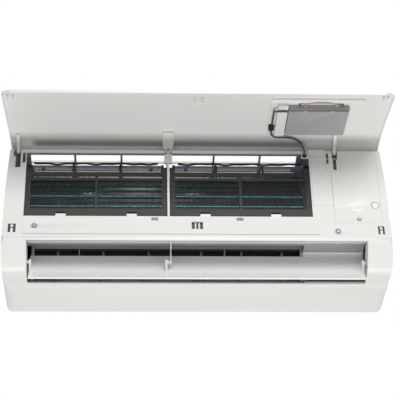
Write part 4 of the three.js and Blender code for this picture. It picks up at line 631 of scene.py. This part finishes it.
def copper():
    # drawn copper tube: warm, slightly tarnished in 9 mm patches
    return metal("drawn_copper", unit_colours().copper, roughness=0.34, mottle=0.15, spangle=9)


def coated_tube():
    # drawn tube dipped with the coil: a bluish skin with a thin bright highlight and 12 mm patches
    return metal("coated_drawn_tube", unit_colours().tube, roughness=0.28, mottle=0.08, spangle=12)


def fins():
    """Rolled aluminium sheet with a hydrophilic coating: blue-grey, half metallic, with darker and lighter
    streaks about 4 mm wide along the coil and 83 mm long up each fin."""
    material, tree, shader = new_material("hydrophilic_coated_aluminium")
    if tree is None:
        return material
    place = add(tree, "ShaderNodeTexCoord").outputs["Object"]
    stretch = add(tree, "ShaderNodeMapping", {"Vector": place}, Scale=(260, 30, 12))
    streaks_and_painted_light = add(tree, "ShaderNodeTexNoise", {"Vector": stretch.outputs[0]}, Scale=1.0, Detail=4.0)
    dark, light = shades(unit_colours().fin, 0.55, 1.6)
    tone = add(tree, "ShaderNodeMix", {0: streaks_and_painted_light.outputs[0], 6: dark, 7: light}, data_type="RGBA")
    tree.links.new(tone.outputs[2], shader.inputs["Base Color"])
    shader.inputs["Metallic"].default_value = 0.5
    shader.inputs["Roughness"].default_value = 0.45
    return material


def board():
    """Pressed laminate with a green solder mask over copper tracks: a brick pattern of lines a little lighter
    than the board, about 4 mm apart one way and 2 mm the other."""
    material, tree, shader = new_material("solder_masked_laminate")
    if tree is None:
        return material
    tint = unit_colours().board
    dark, light = shades(tint, 0.8, 1.8)
    place = add(tree, "ShaderNodeTexCoord").outputs["Object"]
    tracks = add(tree, "ShaderNodeTexBrick", {"Vector": place}, Scale=120.0, Color1=(*tint, 1), Color2=dark,
                 Mortar=light)
    tree.links.new(tracks.outputs[0], shader.inputs["Base Color"])
    shader.inputs["Roughness"].default_value = 0.3
    return material


FINISH = {
    "case_white": case_white, "inner_white": inner_white, "display_grey": display_grey,
    "duct_grey": duct_grey, "fan_dark": fan_dark, "filter_dark": filter_dark, "net": net_thread,
    "steel": steel, "fins": fins, "copper": copper, "rubber": rubber, "board": board,
    "black_plastic": black_plastic, "lead_dark": lead_dark, "lead_light": lead_light,
}


# ------------------------------------------------------------------ pieces
class UNIT_OT_case(bpy.types.Operator):
    """The moulded front frame, its covers, the grille and the parts of the wall side."""
    bl_idname = "unit.case"
    bl_label = "Case"

    def execute(self, context):
        for node in ("front_frame", "terminal_cover", "control_cover"):
            finished(node, unit_sizes().edge)
        for node in ("top_grille", "manual_button", "wall_plate"):
            finished(node)
        self.shade_the_duct(finished("rear_casing"))
        self.knockouts()
        self.pads()
        self.latch_painted_shade_backs()
        self.cover_details()
        return {"FINISHED"}

    def shade_the_duct(self, casing):
        """Faces of the casing round the fan and down to the outlet get the duct's black painted shade."""
        x, y, z = (read(casing.data.polygons, "center") * 1000 + (0, 0, ZERO_HEIGHT)).T
        along = (x > AIR_LEFT - 2.5) & (x < AIR_RIGHT + 2.5)
        paint(casing, duct_painted_shade(), along & (y > -150) & (y < -5) & (z < 215) & (z > 46))

    def latch_painted_shade_backs(self):
        """Black plates close the three latch sockets behind the wall as painted shade, a black spring crosses
        each post, and a white rib shows behind the catch's way above the two side posts."""
        black, white = [], []
        for x, wide, z, tall, posts, half in LATCHES:
            y = float(front_face(z))
            top, side = z + tall / 2, wide / 2 + 2
            # painted shade: a black plate behind each socket
            black.append([(x - side, y + 4.6, z - tall / 2 - 3), (x + side, y + 5.6, top + 4)])
            for post in posts:
                black.append([(x + post - half, y - 0.25, z - 1.2), (x + post + half, y + 0.5, z + 1.6)])
            if len(posts) == 1:
                white.append([(x - 2.3, y + 3.7, top - 3.6), (x + 2.3, y + 4.55, top + 1)])
        blocks("latch_painted_shade_backs", black, "body", "black_plastic", black_plastic())
        blocks("latch_fillers", white, "body", "case_white", case_white())

    def cover_details(self):
        """The latch tab above the terminal cover, the pull's white floor, the button's seal ring and two
        screw washers: a ring is a small oval section swept once round its axis."""
        pull = float(front_face(131))
        tabs = blocks("cover_tabs", [[(216, -158.6, 261), (248, -155.1, 274)],
                                     [(224, -160, 259.6), (231, -158.4, 263)],
                                     [(292, pull + 2.6, 126), (314, pull + 3.8, 138)]],
                      "body", "case_white", case_white())
        soft = tabs.modifiers.new("moulded edges", "BEVEL")
        soft.width, soft.segments = 0.0006, 2
        seal = swept_ring(336, float(front_face(144)) - 0.15, 144, 7.15, 0.42, 0.3)
        rings_piece("button_seal", metres(seal)[None], "body", "rubber", rubber())
        for name, x, z in (("left", -302, 93), ("right", 261.5, 83)):
            flat = swept_ring(x, float(front_face(z)) - 0.9, z, 4.95, 0.95, 0.3)
            rings_piece(f"washer_{name}", metres(flat)[None], "body", "steel", plated())

    def knockouts(self):
        """Two thin raised arcs on the chin, where the case can be cut for side pipes: a round bead carried
        along part of an ellipse that is 1.3 times as deep as it is wide."""
        arcs = []
        for x, radius, start, stop in ((231, 10.5, 35, 180), (266, 8, 0, 100)):
            angle = np.radians(np.linspace(start, stop, 24))
            path = grid((24,), x + radius * np.cos(angle), -48 - radius * 1.3 * np.sin(angle), 0.05)
            arcs.append(round_tube(metres(path), 0.00035, 8)[0])
        tubes_piece("side_knockout_arcs", np.stack(arcs), "body", "case_white", case_white())

    def pads(self):
        """Two grey rubber stops in the shallow recesses below the filters."""
        y = float(front_face(109.5))
        pads = blocks("panel_stops",
                      [[(x - 6.1, y - 0.9, 106.4), (x + 6.1, y + 0.55, 112.6)] for x in (-79, 80)],
                      "body", "rubber", stop_grey())
        pads.modifiers.new("soft edges", "BEVEL").width = 0.0004


class UNIT_OT_panel(bpy.types.Operator):
    """The front panel with its ribs, its hinge and its catches."""
    bl_idname = "unit.panel"
    bl_label = "Front panel"

    def execute(self, context):
        self.paint_shade_on_roll(finished("front_panel", unit_sizes().edge))
        finished("panel_centre_hinge", unit_sizes().edge)
        self.ribs()
        return {"FINISHED"}

    def paint_shade_on_roll(self, panel):
        """The panel's inner faces, which look down while it is open, get the white with painted shade at the
        hinge.
        """
        paint(panel, painted_shade_white(), read(panel.data.polygons, "normal")[:, 2] < -0.3)

    def ribs(self):
        """A low moulded rib runs along three sides of a rectangle on the panel's inner face: a round bead of
        0.6 mm radius, about half sunk, that follows the face's curve."""
        outline = [(225, 102), (225, 77), (305, 77), (305, 102)]
        x, z = np.concatenate([np.linspace(outline[i], outline[i + 1], 12) for i in range(3)]).T
        path = np.stack([x, panel_inner(z) + 0.1, z], -1)
        bead = round_tube(metres(opened(path)), 0.0006, 8)
        tubes_piece("panel_ribs", bead, "panel", "case_white", case_white())


class UNIT_OT_display(bpy.types.Operator):
    """The display's case, its bracket and the clip that holds the lead."""
    bl_idname = "unit.display"
    bl_label = "Display"

    def execute(self, context):
        for node in ("display_case", "display_bracket"):
            finished(node, unit_sizes().edge)
        finished("lead_clip")
        self.bosses()
        self.channel()
        return {"FINISHED"}

    def channel(self):
        """A darker channel along the case's lower edge, painted shade: a thin flat block on its face."""
        y = float(panel_inner(120.0)) + 13.35
        box = boxes([[(168.6, y, 120.6), (279.4, y + 0.22, 127.9)]])
        tubes_piece("display_channel_shade", metres(opened(box)), "panel", "display_grey", channel_painted_shade(), False)

    def bosses(self):
        """White rings round the case's screw posts: a flat oval section swept once round each post."""
        y = float(panel_inner(120.0)) + 13.85
        rings = np.stack([swept_ring(x, y, 128, 3.2, 1.1, 0.27, 24, 10) for x in (198, 249)])
        rings_piece("display_post_rings", metres(opened(rings)), "panel", "case_white", case_white())


class UNIT_OT_leads(bpy.types.Operator):
    """The display's sheathed lead, its loop over the hinge, the two thin wires and the grommet: each cord is
    a round tube along a smooth curve through its points."""
    bl_idname = "unit.leads"
    bl_label = "Leads"

    def execute(self, context):
        sizes = unit_sizes()
        for node, points, radius, look in (
                ("display_lead", LEAD_ON_PANEL, sizes.lead, lead_dark()),
                ("display_wire_dark", WIRE_DARK, sizes.wire, lead_dark()),
                ("display_wire_light", WIRE_LIGHT, sizes.wire, lead_light())):
            x, z, off = np.array(points, float).T
            on_face = np.stack([x, panel_inner(z) + off, z], -1)
            path = even(metres(opened(spline(on_face, 160))), 120)
            piece = tubes_piece(f"{node}_sheath", round_tube(path, radius), "panel", SLOT_OF[node], look)
            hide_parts(node)
        path = even(metres(spline(LEAD_OVER_HINGE, 80)), 60)
        loop = tubes_piece("hinge_lead_sheath", round_tube(path, sizes.lead), None, "lead_dark", lead_dark())
        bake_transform(loop)
        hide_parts("hinge_lead")
        finished("lead_grommet")
        return {"FINISHED"}


class UNIT_OT_filters(bpy.types.Operator):
    """The two air filters: moulded frames and nets of separate threads."""
    bl_idname = "unit.filters"
    bl_label = "Air filters"

    def execute(self, context):
        for side, x0, x1 in FILTERS:
            finished(f"filter_frame_{side}")
            self.net(side, x0, x1)
            self.clips(side, x0, x1)
            self.crease(side, x0, x1)
        return {"FINISHED"}

    def crease(self, side, x0, x1):
        """The net's folded crest: a bead along X that rises and falls by two sines of different length."""
        path = filter_path()
        slope = np.gradient(path, axis=0)
        y, z = path[np.argmin(np.abs(slope[:, 1] / np.maximum(slope[:, 0], 1e-6) - 0.585))]
        x = np.linspace(x0 + 9, x1 - 9, 90)[:, None]
        wave = 1.2 * np.sin(x / 13) + 0.8 * np.sin(x / 5.7 + 1)
        around = circle(10)[None]
        bead = grid((90, 10), x, y + 0.6 * np.cos(around), z + 1.1 + 0.75 * wave + 2.3 * np.sin(around))
        tubes_piece(f"filter_crest_{side}", metres(bead)[None], f"filter_{side}", "net", filter_dark())

    def net(self, side, x0, x1):
        """Threads at an even pitch both ways: square tubes up the filter's path, straight ones across it."""
        sizes = unit_sizes()
        pitch, half = sizes.thread_pitch * 1000, sizes.thread * 500
        path = filter_path()
        inward = across(path)
        centre, inward = (path + inward * 2.4)[1:-1], inward[1:-1]
        xs = np.arange(x0 + pitch / 2, x1, pitch)[:, None]
        rows = even(centre, int(np.linalg.norm(np.diff(centre, axis=0), axis=1).sum() / pitch))
        corners = ((-half, -half), (half, -half), (half, half), (-half, half))
        up = np.stack([grid((len(xs), len(centre)), xs + a, *(centre + inward * b).T) for a, b in corners], 2)
        over = np.stack([grid((len(rows), 2), [x0, x1], rows[:, :1] + a, rows[:, 1:] + b)
                         for a, b in corners], 2)
        vertices, faces = loops_mesh(metres(up))
        more, extra = loops_mesh(metres(over))
        joined = faces + (np.array(extra) + len(vertices)).tolist()
        net = mesh_object(f"filter_net_{side}_threads", np.vstack([vertices, more]), joined,
                          f"filter_{side}", "net", net_thread(), False)
        outward(net)
        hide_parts(f"filter_net_{side}")

    def clips(self, side, x0, x1):
        """Small dark lugs near the filter's upper corners, and black blocks of painted shade for the slits in
        its lower bar above the tabs.
        """
        y, z = filter_path()[50]
        front = float(front_face(127)) + 3
        body = f"filter_{side}"
        blocks(f"filter_lugs_{side}",
               [[(x, y - 4, z - 4), (x + 7, y + 4, z - 0.4)] for x in (x0 + 22, x1 - 26)],
               body, "filter_dark", filter_dark())
        blocks(f"filter_slit_shades_{side}",
               [[(x - 9, front - 0.45, 123.6), (x + 9, front + 0.9, 127.8)] for x in TABS[side]],
               body, "filter_dark", shaded_slit())


class UNIT_OT_coils(bpy.types.Operator):
    """The heat exchanger: packs of thin fins, the tubes through them and the copper bends at their ends."""
    bl_idname = "unit.coils"
    bl_label = "Coils"

    def execute(self, context):
        for name in coil_slabs():
            self.pack(name)
            finished(f"{name}_end_left")
        return {"FINISHED"}

    def pack(self, name):
        """Each fin is a plate with the slab's outline, drawn 0.3 mm thick where the real one has about 0.1 mm,
        so that it shows; the plates repeat at an even pitch along X."""
        thick, gap = 0.0003, 0.0002
        co = read(frame["nodes"][name].data.vertices, "co")
        low, high = co[:, 0].min(), co[:, 0].max()
        corners = np.unique(np.round(co[np.abs(co[:, 0] - low) < 1e-5][:, 1:], 6), axis=0)
        middle = corners.mean(0)
        corners = corners[np.argsort(np.arctan2(corners[:, 1] - middle[1], corners[:, 0] - middle[0]))]
        xs = np.arange(low + gap, high - 2 * gap, unit_sizes().fin_pitch)
        faces = np.stack([xs, xs + thick], 1)
        loops = grid((len(xs), 2, len(corners)), faces[:, :, None], corners[:, 0], corners[:, 1])
        pack = tubes_piece(f"{name}_fins", loops, "body", "fins", fins(), False)
        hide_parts(name)
        self.tubes(name, low, high)

    def tubes(self, name, low, high):
        """Two rows of round tubes along X, half a pitch apart and evenly spaced along the slab. In the lowest
        slab the front row lies nearer the face, with one tube at a set height."""
        a, b = coil_slabs()[name]
        span = np.linalg.norm(b - a)
        run = (b - a) / span
        inward = np.array([run[1], -run[0]])
        pitch = unit_sizes().tube_pitch * 1000
        lowest = name == "coil_front_lower"
        set_height, radius, sides = 172.8, 0.002, 14
        first = (set_height - a[1]) / run[1] % pitch if lowest else pitch / 2
        angle = circle(sides)
        ring = np.stack([np.zeros(sides), np.cos(angle), np.sin(angle)], -1) * radius
        loops = []
        for depth, shift in ((3.4 if lowest else 12, 0.0), (17.5, 0.5)):
            for at in np.arange(first + shift * pitch, span - 5, pitch):
                if at >= 5:
                    y, z = a + run * at + inward * depth
                    ends = metres([(low * 1000, y, z), (high * 1000, y, z)])
                    loops.append(ends[:, None] + ring[None])
        tubes_piece(f"{name}_tubes", np.stack(loops), "body", "copper", coated_tube())


class UNIT_OT_fan(bpy.types.Operator):
    """The cross-flow fan: curved blades held by thin rings, two discs, a hub and a stub at its ends, and its
    motor, shaft, bracket and rubber bearing."""
    bl_idname = "unit.fan"
    bl_label = "Fan"

    def execute(self, context):
        x0, x1 = AIR_LEFT + 6, AIR_RIGHT - 6
        self.blades(x0, x1)
        self.turned("cross_flow_rings", 72, [[(at, 28.5), (at + 2, 28.5), (at + 2, 40.9), (at, 40.9)]
                                             for at in np.linspace(x0, x1 - 2, 8)])
        for name, a, b, big, bore in (
                ("fan_disc_left", x0, x0 + 2, 29.2, 0), ("fan_disc_right", x1 - 2, x1, 29.2, 4.4),
                ("fan_hub", x1 - 22, x1 + 3, 10, 4.4), ("fan_stub", -329, x0 + 1, 3, 0)):
            self.turned(name, 48, [[(a, bore), (a, big), (b, big), (b, bore)]])
        for node in ("motor_shaft", "fan_motor", "motor_bracket", "fan_bearing"):
            finished(node)
        return {"FINISHED"}

    def turned(self, name, count, sections):
        """Closed sections, as X and radius, turned once round the fan's axis."""
        x, r = np.array(sections, float)[:, None].transpose(3, 0, 1, 2)
        around = circle(count)[None, :, None]
        rings = grid((len(sections), count, x.shape[2]), x, FAN_AXIS[0] + r * np.cos(around),
                     FAN_AXIS[1] + r * np.sin(around))
        rings_piece(name, metres(rings), "fan", "fan_dark", fan_dark())

    def blades(self, x0, x1):
        """Each blade is a thin arc that leans forward as the radius grows, from 31 to 40.6 mm, carried along
        X; the blades stand at even steps round the axis."""
        share = np.linspace(0, 1, 6)
        radius = 31 + 9.6 * share
        lean = 0.26 * share ** 1.8
        half = 0.55 / radius
        r = np.concatenate([radius, radius[::-1]])
        turn = np.concatenate([lean - half, (lean + half)[::-1]])
        angle = (circle(unit_sizes().blades)[:, None] + turn[None])[:, None]
        loops = grid((len(angle), 2, len(r)), [[x0 + 0.5], [x1 - 0.5]],
                     FAN_AXIS[0] + r * np.cos(angle), FAN_AXIS[1] + r * np.sin(angle))
        blades = tubes_piece("cross_flow_blades", metres(loops), "fan", "fan_dark", fan_dark())
        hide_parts("cross_flow_fan")


class UNIT_OT_outlet(bpy.types.Operator):
    """The air outlet: flap, vanes with their tie bars, grey vane frame, drain pan and middle support."""
    bl_idname = "unit.outlet"
    bl_label = "Air outlet"

    def execute(self, context):
        for node in ("air_flap", "drain_pan"):
            finished(node, unit_sizes().edge)
        for node in ("flap_motor", "centre_support", "vane_link_left", "vane_link_right"):
            finished(node)
        vanes = [finished(f"vane_{i + 1}", 0.0002) for i in range(6)]
        shelf = finished("vane_frame")
        self.slim_the_bar(shelf)
        for piece in (*vanes, shelf):
            piece.data.materials[0] = vane_grey()
        self.shade_the_shelf(shelf)
        return {"FINISHED"}

    def shade_the_shelf(self, piece):
        """The underside of the vane shelf, behind the bar, gets the duct's black painted shade."""
        normal, centre = read(piece.data.polygons, "normal"), read(piece.data.polygons, "center")
        paint(piece, duct_painted_shade(), (normal[:, 2] < -0.8) & (centre[:, 1] > -0.1115) & (centre[:, 2] > -0.09))

    def slim_the_bar(self, piece):
        """Lifts the lower edge of the vane frame's front bar, so that its face is as slim as the real one."""
        lift = 0.0026
        place = read(piece.data.vertices, "co")
        height = place[:, 2] * 1000 + ZERO_HEIGHT
        lower = (place[:, 1] < -0.1095) & (height > 76) & (height < 79)
        place[lower, 2] += lift
        piece.data.vertices.foreach_set("co", place.ravel())
        piece.data.update()


class UNIT_OT_electrics(bpy.types.Operator):
    """The electrical box with its board and terminals, and the three screws."""
    bl_idname = "unit.electrics"
    bl_label = "Electrical side"

    def execute(self, context):
        for node in ("electrical_box", "control_board", "terminal_block"):
            finished(node)
        for node in ("screw_left", "screw_right", "screw_cover"):
            finished(node).data.materials[0] = plated()
        return {"FINISHED"}


class UNIT_OT_stage(bpy.types.Operator):
    """The camera at the photograph's viewing angle, soft lamps, the white surroundings and the floor."""
    bl_idname = "unit.stage"
    bl_label = "Stage"

    def execute(self, context):
        self.camera()
        self.surroundings()
        self.lamps()
        self.floor()
        bpy.context.scene.view_settings.view_transform = "Standard"
        return {"FINISHED"}

    def camera(self):
        """The fitted camera: it looks along yaw and pitch, and rolls about its own axis."""
        yaw, pitch, roll = (math.radians(a) for a in CAMERA_TURN)
        ahead = Vector((math.sin(yaw) * math.cos(pitch), math.cos(yaw) * math.cos(pitch), math.sin(pitch)))
        right = Vector((math.cos(yaw), -math.sin(yaw), 0))
        data = bpy.data.cameras.new("camera")
        data.sensor_width = SENSOR
        data.lens = CAMERA_FOCAL / PHOTO_WIDTH * SENSOR
        data.clip_end = 50
        view = placed("camera", data)
        turn = Matrix((right, right.cross(ahead), -ahead)).transposed().to_4x4()
        view.matrix_world = Matrix.Translation(CAMERA_PLACE) @ turn @ Matrix.Rotation(roll, 4, "Z")
        bpy.context.scene.camera = view

    def surroundings(self):
        """White for what is seen, mirrored or seen through, and less for the light that falls on things."""
        world = bpy.data.worlds.new("white surroundings")
        bpy.context.scene.world = world
        world.use_nodes = True
        tree = world.node_tree
        tree.nodes.clear()
        ray = add(tree, "ShaderNodeLightPath").outputs
        seen = ray["Is Camera Ray"]
        for other in ("Is Glossy Ray", "Is Transmission Ray"):
            seen = add(tree, "ShaderNodeMath", {0: seen, 1: ray[other]}, operation="MAXIMUM").outputs[0]
        lit = add(tree, "ShaderNodeBackground", Strength=0.38, Color=(*linear("#FFFEFC"), 1))
        white = add(tree, "ShaderNodeBackground", Strength=1.0, Color=(1, 1, 1, 1))
        mix = add(tree, "ShaderNodeMixShader", {0: seen, 1: lit.outputs[0], 2: white.outputs[0]})
        add(tree, "ShaderNodeOutputWorld", {0: mix.outputs[0]})

    def lamps(self):
        """A wide softbox in front and above, and a narrow strip far below that lights what looks down."""
        for name, place, aim, wide, deep, power in (
                ("front softbox", (0.5, -2.9, 1.05), (0, -0.15, 0), 2.2, 1.2, 52),
                ("strip below", (0.05, -0.24, -2.2), (0.05, -0.24, 0), 1.5, 0.22, 23)):
            data = bpy.data.lights.new(name, "AREA")
            data.shape = "RECTANGLE"
            data.size, data.size_y = wide, deep
            data.energy = power
            lamp = placed(name, data)
            lamp.location = place
            lamp.rotation_mode = "QUATERNION"
            lamp.rotation_quaternion = (Vector(aim) - Vector(place)).to_track_quat("-Z", "Y")

    def floor(self):
        """A pale square floor, 2.15 m below the unit."""
        level, half = -2.3, 8
        corners = [(x * half, y * half, level) for x, y in ((-1, -1), (1, -1), (1, 1), (-1, 1))]
        mesh = bpy.data.meshes.new("floor")
        mesh.from_pydata(corners, [], [(0, 1, 2, 3)])
        floor = placed("floor", mesh)
        mesh.materials.append(floor_paint())


class UNIT_PT_panel(bpy.types.Panel):
    """Lists the unit's pieces and settings in the sidebar."""
    bl_idname = "UNIT_PT_panel"
    bl_label = "Indoor unit"
    bl_space_type = "VIEW_3D"
    bl_region_type = "UI"
    bl_category = "Unit"

    def draw(self, context):
        for name in STEPS:
            self.layout.operator(f"unit.{name}")
        for group in (context.scene.unit_sizes, context.scene.unit_colours):
            for key in group.__annotations__:
                self.layout.prop(group, key)


STEPS = ("stage", "leads", "case", "panel", "display", "filters", "coils", "fan", "outlet", "electrics")
CLASSES = (UnitSizes, UnitColours, UNIT_OT_stage, UNIT_OT_leads, UNIT_OT_case, UNIT_OT_panel, UNIT_OT_display,
           UNIT_OT_filters, UNIT_OT_coils, UNIT_OT_fan, UNIT_OT_outlet, UNIT_OT_electrics, UNIT_PT_panel)


def register():
    """Adds the classes and the two groups of settings."""
    for cls in CLASSES:
        bpy.utils.register_class(cls)
    bpy.types.Scene.unit_sizes = bpy.props.PointerProperty(type=UnitSizes)
    bpy.types.Scene.unit_colours = bpy.props.PointerProperty(type=UnitColours)


def unregister():
    """Takes them away again."""
    del bpy.types.Scene.unit_colours
    del bpy.types.Scene.unit_sizes
    for cls in reversed(CLASSES):
        bpy.utils.unregister_class(cls)


def main():
    """Makes the stage and every piece in order."""
    register()
    for name in STEPS:
        getattr(bpy.ops.unit, name)()


if __name__ == "__main__":
    main()
